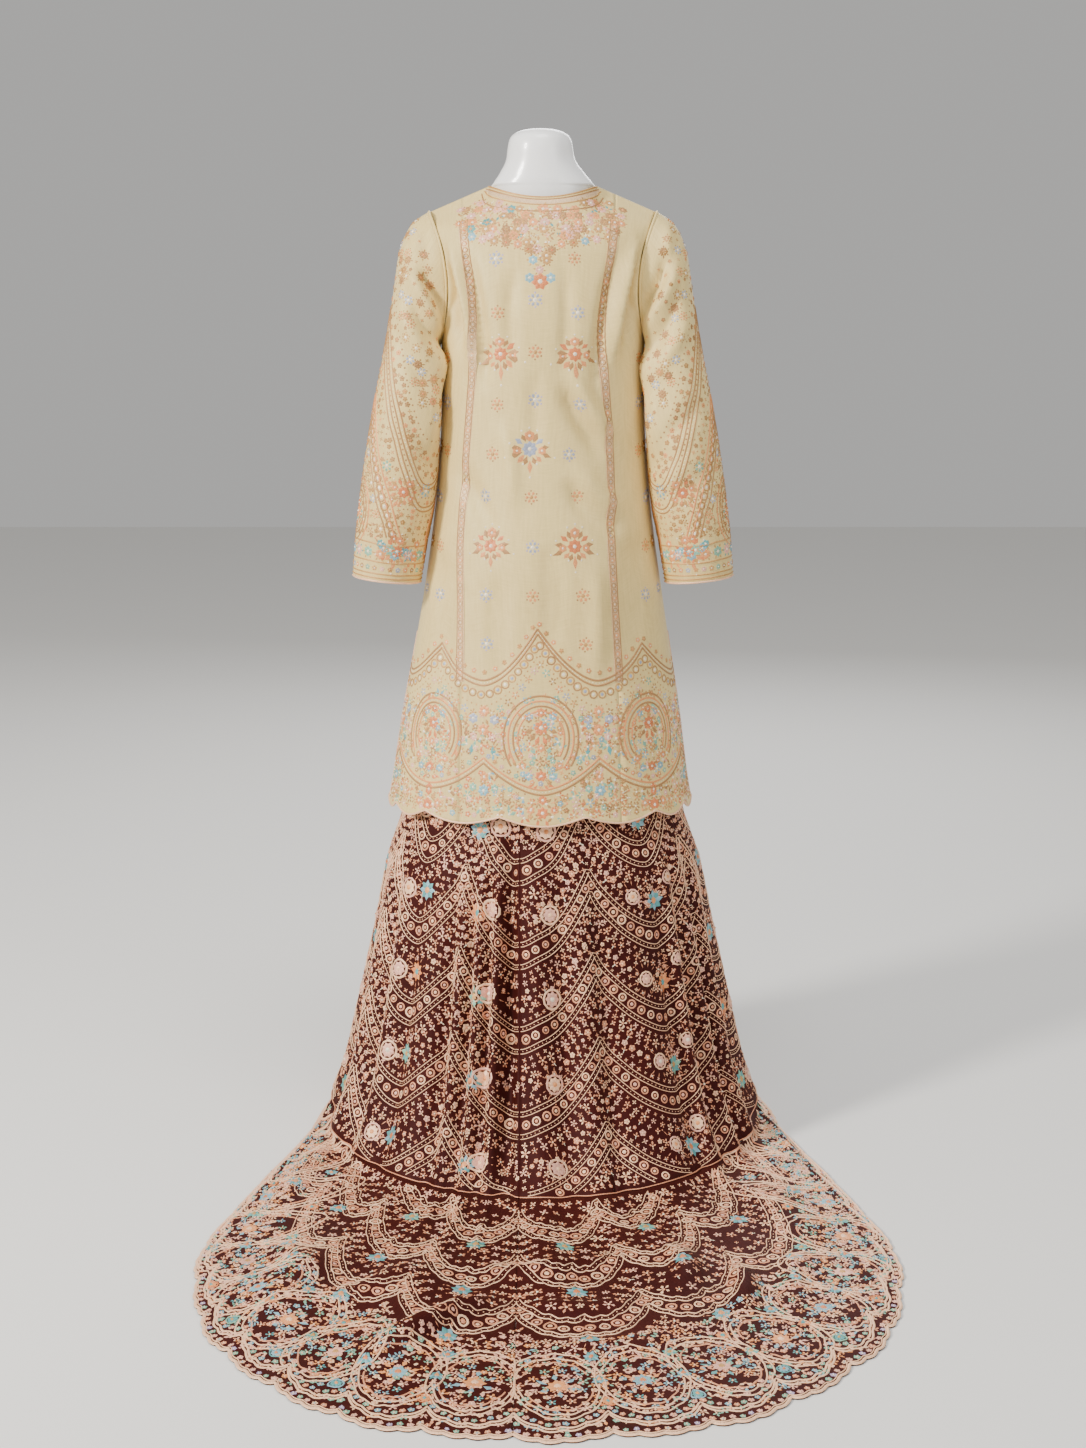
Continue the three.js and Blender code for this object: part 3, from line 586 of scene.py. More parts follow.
def mottledMaterial(name, look):
    # A hard surface: one noise changes its tone and its gloss and stands in low relief
    material, tree, shader = newMaterial(name)
    mottle = noise(tree, node(tree, "TexCoord").outputs["Object"], *look["noise"])
    low, high = look["rough"]
    strength, deep = look["relief"]
    feed(tree, shader, {
        "Base Color": colourRamp(tree, mottle, look["dark"], look["light"]),
        "Roughness": node(tree, "MapRange", {"Value": mottle, "To Min": low, "To Max": high}),
        "Normal": node(tree, "Bump", {"Height": mottle, "Strength": strength, "Distance": deep}),
        **look["more"],
    })
    return material


# noise is its scale, its detail and how it is stretched, and relief a strength and a distance
formLook = {
    "dark": (0.89, 0.885, 0.875), "light": (0.94, 0.935, 0.925), "noise": (14.0, 4.0), "rough": (0.22, 0.34),
    "relief": (0.08, 0.002), "more": {"Coat Weight": 0.3, "Coat Roughness": 0.1},
}
steelLook = {
    "dark": (0.36, 0.37, 0.38), "light": (0.62, 0.63, 0.65), "noise": (30.0, 6.0, (1, 1, 40)),
    "rough": (0.25, 0.45), "relief": (0.15, 0.0005), "more": {"Metallic": 1.0},
}
zariThread = threadMaterial()
formGloss = mottledMaterial("formGloss", formLook)
standSteel = mottledMaterial("standSteel", steelLook)
for name in ("stand_base", "stand_pole", "stand_collar"):
    held = bpy.data.objects[name]
    held.data.materials.clear()
    held.data.materials.append(standSteel)
print("materials made")


# Floor and light: a plain pale floor that meets a pale surround, a broad key from the upper left, a fill
# from the right and a soft light overhead
studio = {"floor": 9.0, "paper": (0.8, 0.79, 0.77), "world": (0.87, 0.86, 0.84), "worldLight": 0.53}


def makeFloor():
    # a flat square, split into cells
    material, tree, shader = newMaterial("floorPaper")
    mottle = noise(tree, node(tree, "TexCoord").outputs["Object"], 3.0, 4.0)
    shaded = [c * 0.985 for c in studio["paper"]]
    feed(tree, shader, {"Base Color": colourRamp(tree, mottle, shaded, studio["paper"]), "Roughness": 0.85})
    side = np.linspace(-studio["floor"], studio["floor"], 13)
    y, x = np.meshgrid(side, side, indexing="ij")
    points = np.stack([x, y, 0 * x - 0.0005], axis=2).reshape(-1, 3)
    meshPiece("floor", points, gridFaces(13, 13), material)


def makeLight(name, place, aim, size, power, colour=(1, 1, 1)):
    data = bpy.data.lights.new(name, "AREA")
    data.shape = "DISK"
    data.size = size
    data.energy = power
    data.color = colour
    light = bpy.data.objects.new(name, data)
    light.location = place
    way = np.array(aim, float) - np.array(place, float)
    light.rotation_euler = (math.atan2(math.hypot(way[0], way[1]), -way[2]), 0,
                            math.atan2(-way[0], way[1]) if way[0] or way[1] else 0)
    bpy.context.collection.objects.link(light)


makeFloor()
world = bpy.data.worlds.new("studio")
world.use_nodes = True
world.node_tree.nodes["Background"].inputs[0].default_value = (*studio["world"], 1)
world.node_tree.nodes["Background"].inputs[1].default_value = studio["worldLight"]
bpy.context.scene.world = world
makeLight("key", (-3.5, -2.6, 2.9), (0, -0.1, 0.8), 0.8, 325, (1, 0.96, 0.89))
makeLight("fill", (2.8, -3.0, 1.9), (0, -0.1, 0.7), 2.0, 34)
makeLight("overhead", (0.2, -1.2, 4.0), (0, -0.5, 0.4), 1.6, 70)
makeLight("behind", (0.5, 3.4, 2.6), (0, 0, 0.9), 2.0, 60)
print("floor and lights made")


# Dress form: ovals stacked from the hips to the neck. side, back and front are reaches from the middle, and
# sharp makes an oval more like a lozenge where it passes under the shoulder seams.
neckPoint, shoulderPoint = (0.078, 1.425), (0.165, 1.388)
ridgeFall = (neckPoint[1] - shoulderPoint[1]) / (shoulderPoint[0] - neckPoint[0])


def ridgeHeight(x):
    return neckPoint[1] - (x - neckPoint[0]) * ridgeFall


formDrop = 0.0026
formTable = {
    "hips": [
        (0.818, 0.128, 0.088, 0.084, 1), (0.826, 0.146, 0.102, 0.097, 1), (0.86, 0.16, 0.112, 0.105, 1),
        (0.905, 0.152, 0.109, 0.102, 1), (0.985, 0.134, 0.099, 0.095, 1), (1.02, 0.126, 0.092, 0.091, 1),
    ],
    "trunk": [
        (1.055, 0.121, 0.087, 0.09, 1), (1.11, 0.124, 0.09, 0.099, 1), (1.16, 0.132, 0.096, 0.111, 1),
        (1.205, 0.137, 0.098, 0.117, 1), (1.25, 0.133, 0.094, 0.106, 1), (1.3, 0.129, 0.085, 0.088, 1),
        (1.345, 0.141, 0.066, 0.062, 1), (1.375, 0.148, 0.046, 0.036, 1.2),
    ],
    "shoulders": [
        (ridgeHeight(x) - formDrop, x, back, front, 1.85)
        for x, back, front in ((0.149, 0.048, 0.038), (0.12, 0.047, 0.033), (0.096, 0.045, 0.027))
    ] + [(1.4216, 0.08, 0.0425, 0.027, 1.75)],
    "neck": [
        (1.427, 0.0738, 0.0487, 0.04, 1), (1.433, 0.0696, 0.0488, 0.041, 1),
        (1.44, 0.064, 0.0484, 0.0432, 1), (1.447, 0.0592, 0.048, 0.0455, 1),
        (1.456, 0.0532, 0.0475, 0.046, 1), (1.466, 0.0492, 0.047, 0.046, 1),
        (1.478, 0.0475, 0.0462, 0.0455, 1), (1.488, 0.0455, 0.0442, 0.0437, 1),
    ],
    "dome": [(1.495, 0.042, 0.0408, 0.0403, 1), (1.5005, 0.0345, 0.0335, 0.033, 1),
             (1.504, 0.024, 0.0232, 0.023, 1), (1.5056, 0.012, 0.0116, 0.0115, 1),
             (1.506, 0.0005, 0.0005, 0.0005, 1)],
    "lean": -0.004,
    "columns": 80,
}


def makeForm():
    # The plan's radius at an angle is that of the round |x / side|^p + |y / depth|^p = 1 with p = 2 / sharp.
    # Under the neck it is the larger of that and the neck's own oval, which goes on inside the shoulders.
    table = np.array(sum((formTable[part] for part in ("hips", "trunk", "shoulders", "neck", "dome")), []))
    places = np.linspace(0, len(table) - 1, (len(table) - 1) * 3 + 1)
    z, side, back, front, sharp = through(table, places).T[:, :, None]
    columns = formTable["columns"]
    angle = np.arange(columns)[None] / columns * 2 * np.pi
    sine, cosine = np.sin(angle), np.cos(angle)
    depth = np.where(cosine > 0, back, front)
    power = 2 / sharp
    radius = (np.abs(sine / side) ** power + np.abs(cosine / depth) ** power) ** (-1 / power)
    rootDepth = np.where(cosine > 0, 0.0485, 0.04)
    root = 1 / np.sqrt((sine / 0.0712) ** 2 + (cosine / rootDepth) ** 2)
    root = root * ease((z - 1.372) / 0.03) * (z < 1.4275)
    larger, smaller = np.maximum(radius, root), np.minimum(radius, root)
    blend = mix(24, 300, ease((z - 1.395) / 0.02))
    radius = larger * (1 + (smaller / larger) ** blend) ** (1 / blend)
    x, y = radius * sine, -radius * cosine
    x = x + formTable["lean"] * ease((z - 1.425) / 0.05)
    points = np.stack([x, y, z + 0 * x], axis=2).reshape(-1, 3)
    quads = tubeFaces(len(places), columns)
    low, high = len(points), len(points) + 1
    points = np.concatenate([points, [[0, 0, table[0, 0]], [0, 0, table[-1, 0]]]])
    i = np.arange(columns)
    wrap, last = (i + 1) % columns, low - columns
    lowFan = np.stack([np.full(columns, low), wrap, i], axis=1)
    highFan = np.stack([np.full(columns, high), last + i, last + wrap], axis=1)
    triangles = np.concatenate([quads[:, [0, 1, 2]], quads[:, [0, 2, 3]], lowFan, highFan])
    form = meshPiece("dress_form", points, triangles, formGloss, "form")
    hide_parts("form_body", "form_neck_cap")


makeForm()
print("dress form made")


# Kurta body. Each face is a stack of rows. Up to the underarm a row ends at the side seam, and above it at
# the armhole.
kurta = {
    "columns": (18, 44, 18),  # in the left side panel, the centre and the right side panel
    "rows": 122,
    "sideRows": [  # height, side, back, front
        (0.505, 0.228, 0.174, 0.165), (0.56, 0.219, 0.165, 0.157), (0.65, 0.207, 0.153, 0.147),
        (0.74, 0.193, 0.143, 0.138), (0.845, 0.177, 0.134, 0.129), (0.93, 0.165, 0.124, 0.121),
        (1.03, 0.154, 0.115, 0.113), (1.12, 0.15, 0.115, 0.121),
    ],
    "armholeRows": {  # angle round the armhole, height, depth, turn of the row
        "back": [(180, 1.2, 0.118, 90), (140, 1.226, 0.117, 84), (105, 1.276, 0.112, 78),
                 (75, 1.322, 0.102, 70), (45, 1.362, 0.086, 60)],
        "front": [(180, 1.2, 0.131, 90), (140, 1.222, 0.131, 84), (105, 1.256, 0.127, 78),
                  (75, 1.286, 0.119, 70), (45, 1.306, 0.11, 60)],
    },
    "armhole": {"top": (0.165, 1.388), "low": (0.15, -0.004, 1.2), "back": (-0.062, -0.02),
                "front": (0.056, -0.017)},
    "neckline": {"back": (0.06, 0.017), "front": (0.098, 0.098)},
    "neckShare": 0.47,
    # the princess seams' heights and distances to the left and the right
    "princess": {
        "back": [(0.505, 0.124, 0.117), (0.73, 0.121, 0.11), (0.915, 0.121, 0.099), (1.014, 0.1142, 0.0985),
                 (1.116, 0.1056, 0.093), (1.205, 0.0962, 0.082), (1.25, 0.1, 0.086),
                 (1.329, 0.1124, 0.0987), (1.4, 0.118, 0.106)],
        "front": [(0.505, 0.13, 0.13), (0.93, 0.121, 0.121), (1.205, 0.108, 0.108), (1.4, 0.116, 0.116)],
    },
    "flare": 0.009,
    "creased": 2.3,
    "deepest": (0.0045, 0.0135, 0.015),  # the creases' limits, inwards low down and high up, and outwards
    "evened": 137,  # times that the underarm's rows are evened out
    "lobe": {"deep": 0.014, "inCentre": 3, "inSide": 2},
    "slit": {"top": 3.3, "wide": 0.005},
}
neckRow = 13
faceSign = {"back": -1, "front": 1}


def bodyRows(face, across):
    # Fourteen rows of points: x is the row's end times a sine of the share across, and depth and height
    # move to the row's end as one less the cosine does. The top row follows the neckline's oval and then
    # the shoulder seam.
    sign, size, side = faceSign[face], np.abs(across), np.where(across < 0, -1, 1)
    rows = []
    for z, end, *depths in kurta["sideRows"]:
        rows.append((np.array([end, kurta["armhole"]["low"][1] / 2, z]), z, depths[face == "front"], 90))
    hole = kurta["armhole"]
    reach, hollow = hole[face]
    for degrees, z, depth, turn in kurta["armholeRows"][face]:
        along, out = (1 - math.cos(math.radians(degrees))) / 2, math.sin(math.radians(degrees))
        end = np.array([
            mix(hole["top"][0], hole["low"][0], along) + hollow * out**2,
            hole["low"][1] * along + reach * out,
            mix(hole["top"][1], hole["low"][2], along),
        ])
        rows.append((end, z, depth, turn))
    points = []
    for end, z, depth, turn in rows:
        angle, whole = np.radians(size * turn), math.radians(turn)
        rise = (1 - np.cos(angle)) / (1 - math.cos(whole))
        points.append(np.stack([
            side * end[0] * np.sin(angle) / math.sin(whole),
            sign * depth + (end[1] - sign * depth) * rise,
            z + (end[2] - z) * rise,
        ], axis=1))
    depth, drop = kurta["neckline"][face]
    share = kurta["neckShare"]
    angle = np.radians(np.minimum(size / share, 1) * 90)
    x = np.where(size <= share, neckPoint[0] * np.sin(angle),
                 mix(neckPoint[0], shoulderPoint[0], (size - share) / (1 - share)))
    y = np.where(size <= share, sign * depth * np.cos(angle), 0)
    z = np.where(size <= share, neckPoint[1] - drop * np.cos(angle) ** 2, ridgeHeight(x))
    points.append(np.stack([side * x, y, z], axis=1))
    return np.array(points)


# Creases in the kurta's cloth, each a soft ridge or hollow along a line of (x, z), by face
kurtaCreases = {
    "back": [
        ([(-0.15, 1.345), (-0.136, 1.3), (-0.122, 1.235), (-0.112, 1.17)], 0.01, -0.0075),
        ([(-0.14, 1.36), (-0.124, 1.3), (-0.106, 1.22), (-0.098, 1.15)], 0.01, 0.006),
        ([(-0.112, 1.35), (-0.096, 1.27), (-0.086, 1.19), (-0.082, 1.12)], 0.009, -0.0045),
        ([(0.15, 1.345), (0.137, 1.3), (0.124, 1.235), (0.112, 1.165)], 0.01, -0.0075),
        ([(0.14, 1.36), (0.124, 1.3), (0.108, 1.225), (0.098, 1.15)], 0.01, 0.006),
        ([(0.108, 1.345), (0.092, 1.27), (0.08, 1.19), (0.076, 1.11)], 0.009, -0.0045),
        ([(0.02, 1.15), (0.052, 1.09), (0.096, 1.03)], 0.011, -0.005),
        ([(0.034, 1.17), (0.068, 1.112), (0.108, 1.06)], 0.009, 0.004),
        ([(0.026, 1.012), (0.066, 0.96), (0.118, 0.925)], 0.01, -0.0048),
        ([(0.04, 1.034), (0.08, 0.988), (0.128, 0.955)], 0.009, 0.0038),
        ([(-0.128, 1.03), (-0.092, 0.97), (-0.064, 0.9)], 0.012, -0.0042),
        ([(-0.062, 1.1), (-0.046, 1.03), (-0.04, 0.95)], 0.011, 0.0032),
        ([(0.142, 0.93), (0.128, 0.85), (0.136, 0.74)], 0.012, -0.005),
        ([(-0.152, 0.91), (-0.142, 0.82), (-0.15, 0.7)], 0.012, -0.0048),
        ([(0.004, 0.93), (0.016, 0.84), (0.008, 0.74)], 0.016, -0.003),
        ([(-0.06, 0.88), (-0.066, 0.8), (-0.06, 0.69)], 0.015, -0.003),
        ([(0.07, 0.9), (0.08, 0.81), (0.078, 0.7)], 0.014, 0.0034),
        ([(0.028, 1.33), (0.034, 1.24), (0.026, 1.14)], 0.01, -0.0026),
        ([(-0.04, 1.32), (-0.048, 1.24), (-0.04, 1.15)], 0.01, -0.0028),
        ([(-0.016, 1.18), (-0.012, 1.1), (-0.02, 1.01)], 0.012, -0.0022),
    ],
    "front": [
        ([(-0.128, 1.32), (-0.118, 1.25), (-0.108, 1.185)], 0.01, -0.004),
        ([(0.128, 1.32), (0.118, 1.25), (0.108, 1.185)], 0.01, -0.004),
        ([(-0.09, 1.1), (-0.06, 1.04), (-0.04, 0.98)], 0.014, -0.0022),
        ([(0.09, 1.09), (0.062, 1.03), (0.04, 0.97)], 0.014, -0.0022),
        ([(0.13, 0.88), (0.118, 0.8), (0.124, 0.72)], 0.014, -0.0024),
        ([(-0.13, 0.88), (-0.118, 0.8), (-0.124, 0.72)], 0.014, -0.0024),
    ],
}


def creaseLift(points, creases, axes=(0, 2)):
    # The sum of the creases' bumps: each one's height times a bell of the distance from its line, which
    # fades towards its two ends
    lift = np.zeros(points.shape[:2])
    for line, wide, deep in creases:
        line = through(np.array(line), np.linspace(0, len(line) - 1, 25))
        gap = np.linalg.norm(points[:, :, None, list(axes)] - line[None, None], axis=3)
        nearest = gap.argmin(axis=2) / 24
        fade = ease(nearest / 0.35) * ease((1 - nearest) / 0.35)
        lift += deep * fade * np.exp(-((gap.min(axis=2) / wide) ** 2))
    return lift


def kurtaChart(face):
    fine = np.linspace(-1, 1, 361)
    rows = bodyRows(face, fine)
    places = np.linspace(0, neckRow, kurta["rows"] + 1)
    places = np.sort(np.concatenate([places, [neckRow - 0.08, neckRow - 0.03]]))
    dense = through(rows, places)
    dense[:, :, 0] -= kurta["flare"] * ease((0.86 - dense[:, :, 2]) / 0.36) * ease(-dense[:, :, 0] / 0.22)
    # the princess seams
    heights, toLeft, toRight = np.array(kurta["princess"][face]).T
    atSeam = np.empty((len(places), 2))
    for row in range(len(places)):
        across, level = dense[row, :, 0], dense[row, 180, 2]
        for which, sign, reach in ((0, -1, toLeft), (1, 1, toRight)):
            atSeam[row, which] = abs(np.interp(sign * np.interp(level, heights, reach), across, fine))
    # the slits and the armhole's inset take a little off each end
    spread = np.abs(dense[:, -1, 0]) * 1.45
    opened = kurta["slit"]["wide"] * (1 - np.clip(places / kurta["slit"]["top"], 0, 1))
    edge = 1 - (opened + np.where(places >= 8, 0.0008, 0.00015)) / spread
    left, middle, right = kurta["columns"]
    shares = []
    for row in range(len(places)):
        (before, after), end = atSeam[row], edge[row]
        shares.append(np.concatenate([
            np.linspace(-end, -before, left + 1)[:-1], np.linspace(-before, after, middle + 1),
            np.linspace(after, end, right + 1)[1:],
        ]))
    shares = np.array(shares)
    grid = np.array([resample(share, fine, row) for share, row in zip(shares, dense)])
    # hem lobes, round below with a notch between each two
    size, seam = np.abs(shares[0]), 0.53
    lobe = kurta["lobe"]
    count = np.where(size < seam, size / seam * lobe["inCentre"] / 2 + 0.5,
                     (size - seam) / (1 - seam) * lobe["inSide"])
    notch = lobe["deep"] * (1 - np.abs(np.sin(np.pi * count)))
    grid[:, :, 2] += notch[None] * (1 - np.clip(places / 0.35, 0, 1))[:, None]
    grid[:, :, 1] += faceSign[face] * 0.00015 * (places / neckRow)[:, None] ** 8
    # the turn at the underarm's row is evened out, away from the armholes: each row moves to the mean of
    # itself and its neighbours, many times over
    fromEdge = np.minimum(np.arange(grid.shape[1]), np.arange(grid.shape[1])[::-1])
    even = np.exp(-(((places - 8) / 1.6) ** 2))[:, None] * ease(fromEdge / 5)[None]
    for _ in range(kurta["evened"]):
        middle = (grid[:-2] + 2 * grid[1:-1] + grid[2:]) / 4
        grid[1:-1] = mix(grid[1:-1], middle, even[1:-1, :, None])
    sheet = Chart(grid, faceSign[face] * -1, up=1)
    lift = kurta["creased"] * creaseLift(grid, kurtaCreases[face])
    lift *= ease(places / 1.5)[:, None] * ease((neckRow - places) / 1.5)[:, None]
    lift += 0.0016 * np.sin(np.pi * count[None]) * ease((2.2 - places) / 2.2)[:, None]
    rim = mix(1, ease(fromEdge[None] / 4), ease((places - 6.5) / 1.5)[:, None])
    low, high, outwards = kurta["deepest"]
    deepest = mix(low, high, ease((grid[..., 2] - 0.94) / 0.08))
    lift = np.clip(lift, -deepest, outwards) * rim
    return Chart(grid + sheet.normal * lift[..., None], faceSign[face] * -1, up=1)


kurtaCharts = {face: kurtaChart(face) for face in ("back", "front")}
leftEnd = kurta["columns"][0]
rightStart = leftEnd + kurta["columns"][1]
lastColumn = rightStart + kurta["columns"][2]
kurtaSpans = {"side_left": (0, leftEnd), "centre": (leftEnd, rightStart),
              "side_right": (rightStart, lastColumn)}
for face, chart in kurtaCharts.items():
    for part, span in kurtaSpans.items():
        chart.panel(f"kurta_{face}_{part}", kurtaCloth, span)
print("kurta body made")


# Sleeves: rings from the armhole to the cuff, each with an outer and an inner end and a reach to each side
sleeve = {
    "columns": 68, "rows": 82,
    "rings": [  # outer x and z, inner x and z, middle y, reach, hollow
        (0.166, 1.389, 0.1515, 1.199, -0.002, 0.061, -0.019),
        (0.19, 1.372, 0.153, 1.181, -0.006, 0.065, -0.01),
        (0.209, 1.334, 0.153, 1.16, -0.012, 0.066, -0.004),
        (0.219, 1.272, 0.152, 1.128, -0.018, 0.065, 0),
        (0.231, 1.2, 0.152, 1.09, -0.024, 0.063, 0),
        (0.248, 1.116, 0.153, 1.04, -0.029, 0.062, 0),
        (0.266, 1.012, 0.161, 0.965, -0.031, 0.06, 0),
        (0.278, 0.922, 0.174, 0.9, -0.03, 0.056, 0),
        (0.284, 0.858, 0.1825, 0.848, -0.028, 0.052, 0),
    ],
    # share round, share down, their half widths, how the bump leans, and its height
    "creases": [
        (0.6, 0.13, 0.06, 0.1, 0.0, 0.015), (0.615, 0.33, 0.06, 0.15, 0.0, 0.011),
        (0.62, 0.52, 0.06, 0.045, 0.3, -0.0045), (0.7, 0.62, 0.08, 0.035, 0.25, 0.0036),
        (0.78, 0.7, 0.08, 0.04, 0.1, -0.0034), (0.72, 0.47, 0.09, 0.03, 0.2, -0.003),
        (0.4, 0.22, 0.025, 0.16, 0.38, -0.007), (0.345, 0.22, 0.028, 0.16, 0.35, 0.0055),
        (0.285, 0.18, 0.024, 0.13, 0.25, -0.005), (0.16, 0.55, 0.08, 0.04, 0.0, -0.0025),
        (0.3, 0.6, 0.08, 0.04, -0.2, 0.003),
    ],
    # behind, lines of (outward x, z) that run into the underarm, each with its half width and height, and
    # how much all of them are raised
    "dragged": 1.4,
    "drags": {
        "left": [
            ([(0.184, 1.312), (0.168, 1.29), (0.15, 1.262), (0.138, 1.228)], 0.0075, -0.009),
            ([(0.196, 1.312), (0.18, 1.282), (0.162, 1.245), (0.148, 1.195)], 0.0095, 0.006),
            ([(0.2, 1.28), (0.182, 1.244), (0.16, 1.21), (0.142, 1.172)], 0.0085, -0.0052),
            ([(0.212, 1.268), (0.194, 1.226), (0.172, 1.186), (0.152, 1.14)], 0.01, 0.0042),
            ([(0.216, 1.225), (0.198, 1.184), (0.176, 1.15), (0.158, 1.11)], 0.01, -0.0036),
            ([(0.172, 1.37), (0.17, 1.34), (0.163, 1.305)], 0.007, -0.004),
        ],
        "right": [
            ([(0.176, 1.33), (0.172, 1.3), (0.152, 1.262), (0.132, 1.222)], 0.0075, -0.009),
            ([(0.192, 1.322), (0.182, 1.282), (0.16, 1.24), (0.143, 1.19)], 0.0095, 0.0062),
            ([(0.202, 1.29), (0.188, 1.246), (0.166, 1.206), (0.145, 1.16)], 0.0085, -0.005),
            ([(0.216, 1.262), (0.2, 1.214), (0.176, 1.176), (0.156, 1.128)], 0.01, 0.004),
            ([(0.18, 1.374), (0.18, 1.345), (0.176, 1.315)], 0.0065, 0.0036),
            ([(0.232, 1.13), (0.21, 1.09), (0.182, 1.062)], 0.011, -0.0036),
        ],
    },
}


def sleeveChart(direction):
    # A ring's point: x and z go from its outer to its inner end as half of one less the cosine, and y
    # swings by reach times the sine
    places = np.linspace(0, len(sleeve["rings"]) - 1, 200)
    outX, outZ, inX, inZ, y, reach, hollow = through(np.array(sleeve["rings"]), places).T[:, :, None]
    angle = np.linspace(0, 2 * np.pi, sleeve["columns"] + 1)[None]
    along, out = (1 - np.cos(angle)) / 2, np.sin(angle)
    grid = np.stack([direction * (mix(outX, inX, along) + hollow * out**2), y + reach * out,
                     mix(outZ, inZ, along)], axis=2)
    grid = evenRows(grid, sleeve["rows"])
    sheet = Chart(grid, direction * -1, up=-1, closed=True)
    share = angle / (2 * np.pi)
    down = np.linspace(0, 1, sleeve["rows"] + 1)[:, None]
    lift = np.zeros(grid.shape[:2])
    for atRound, atDown, wide, tall, lean, deep in sleeve["creases"]:
        across = share - atRound - lean * (down - atDown)
        lift += deep * np.exp(-((across / wide) ** 2) - ((down - atDown) / tall) ** 2)
    lift *= ease(down / 0.1) * ease((1 - down) / 0.08)
    behind = ease((share - 0.5) / 0.06) * ease((1 - share) / 0.1) * ease(down / 0.03)
    behind *= ease((1 - down) / 0.08)
    drags = sleeve["drags"]["right" if direction > 0 else "left"]
    lift += sleeve["dragged"] * behind * creaseLift(grid * np.array([direction, 1, 1]), drags)
    return Chart(grid + sheet.normal * lift[..., None], direction * -1, up=-1, closed=True)


sleeveCharts = {"left": sleeveChart(-1), "right": sleeveChart(1)}
for side, chart in sleeveCharts.items():
    chart.panel(f"kurta_sleeve_{side}", kurtaCloth)


def seamRoll(name, line, radius):
    # A closed round seam: circles square to the line, which never runs along x
    sides = 8
    way = unit(np.roll(line, -1, axis=0) - np.roll(line, 1, axis=0))
    side = unit(np.cross(way, [1, 0, 0]))
    angle = np.arange(sides) / sides * 2 * np.pi
    points = line[:, None] + radius * (np.cos(angle)[None, :, None] * side[:, None]
                                       + np.sin(angle)[None, :, None] * np.cross(side, way)[:, None])
    i, k = np.meshgrid(np.arange(len(line)), np.arange(sides), indexing="ij")
    uv = np.stack([radius * angle[k], i * 0.005], axis=-1).reshape(-1, 2)
    faces = tubeFaces(len(line), sides, joined=True)
    meshPiece(name, points.reshape(-1, 3), faces, kurtaSilk, "silk", uv=uv)


for side, chart in sleeveCharts.items():
    u = np.linspace(0, sleeve["columns"], 129)[:-1]
    seamRoll(f"kurta_sleeve_{side}_armhole_seam", chart.on(u, np.full(128, 0.12), -0.0006), 0.002)
print("sleeves made")


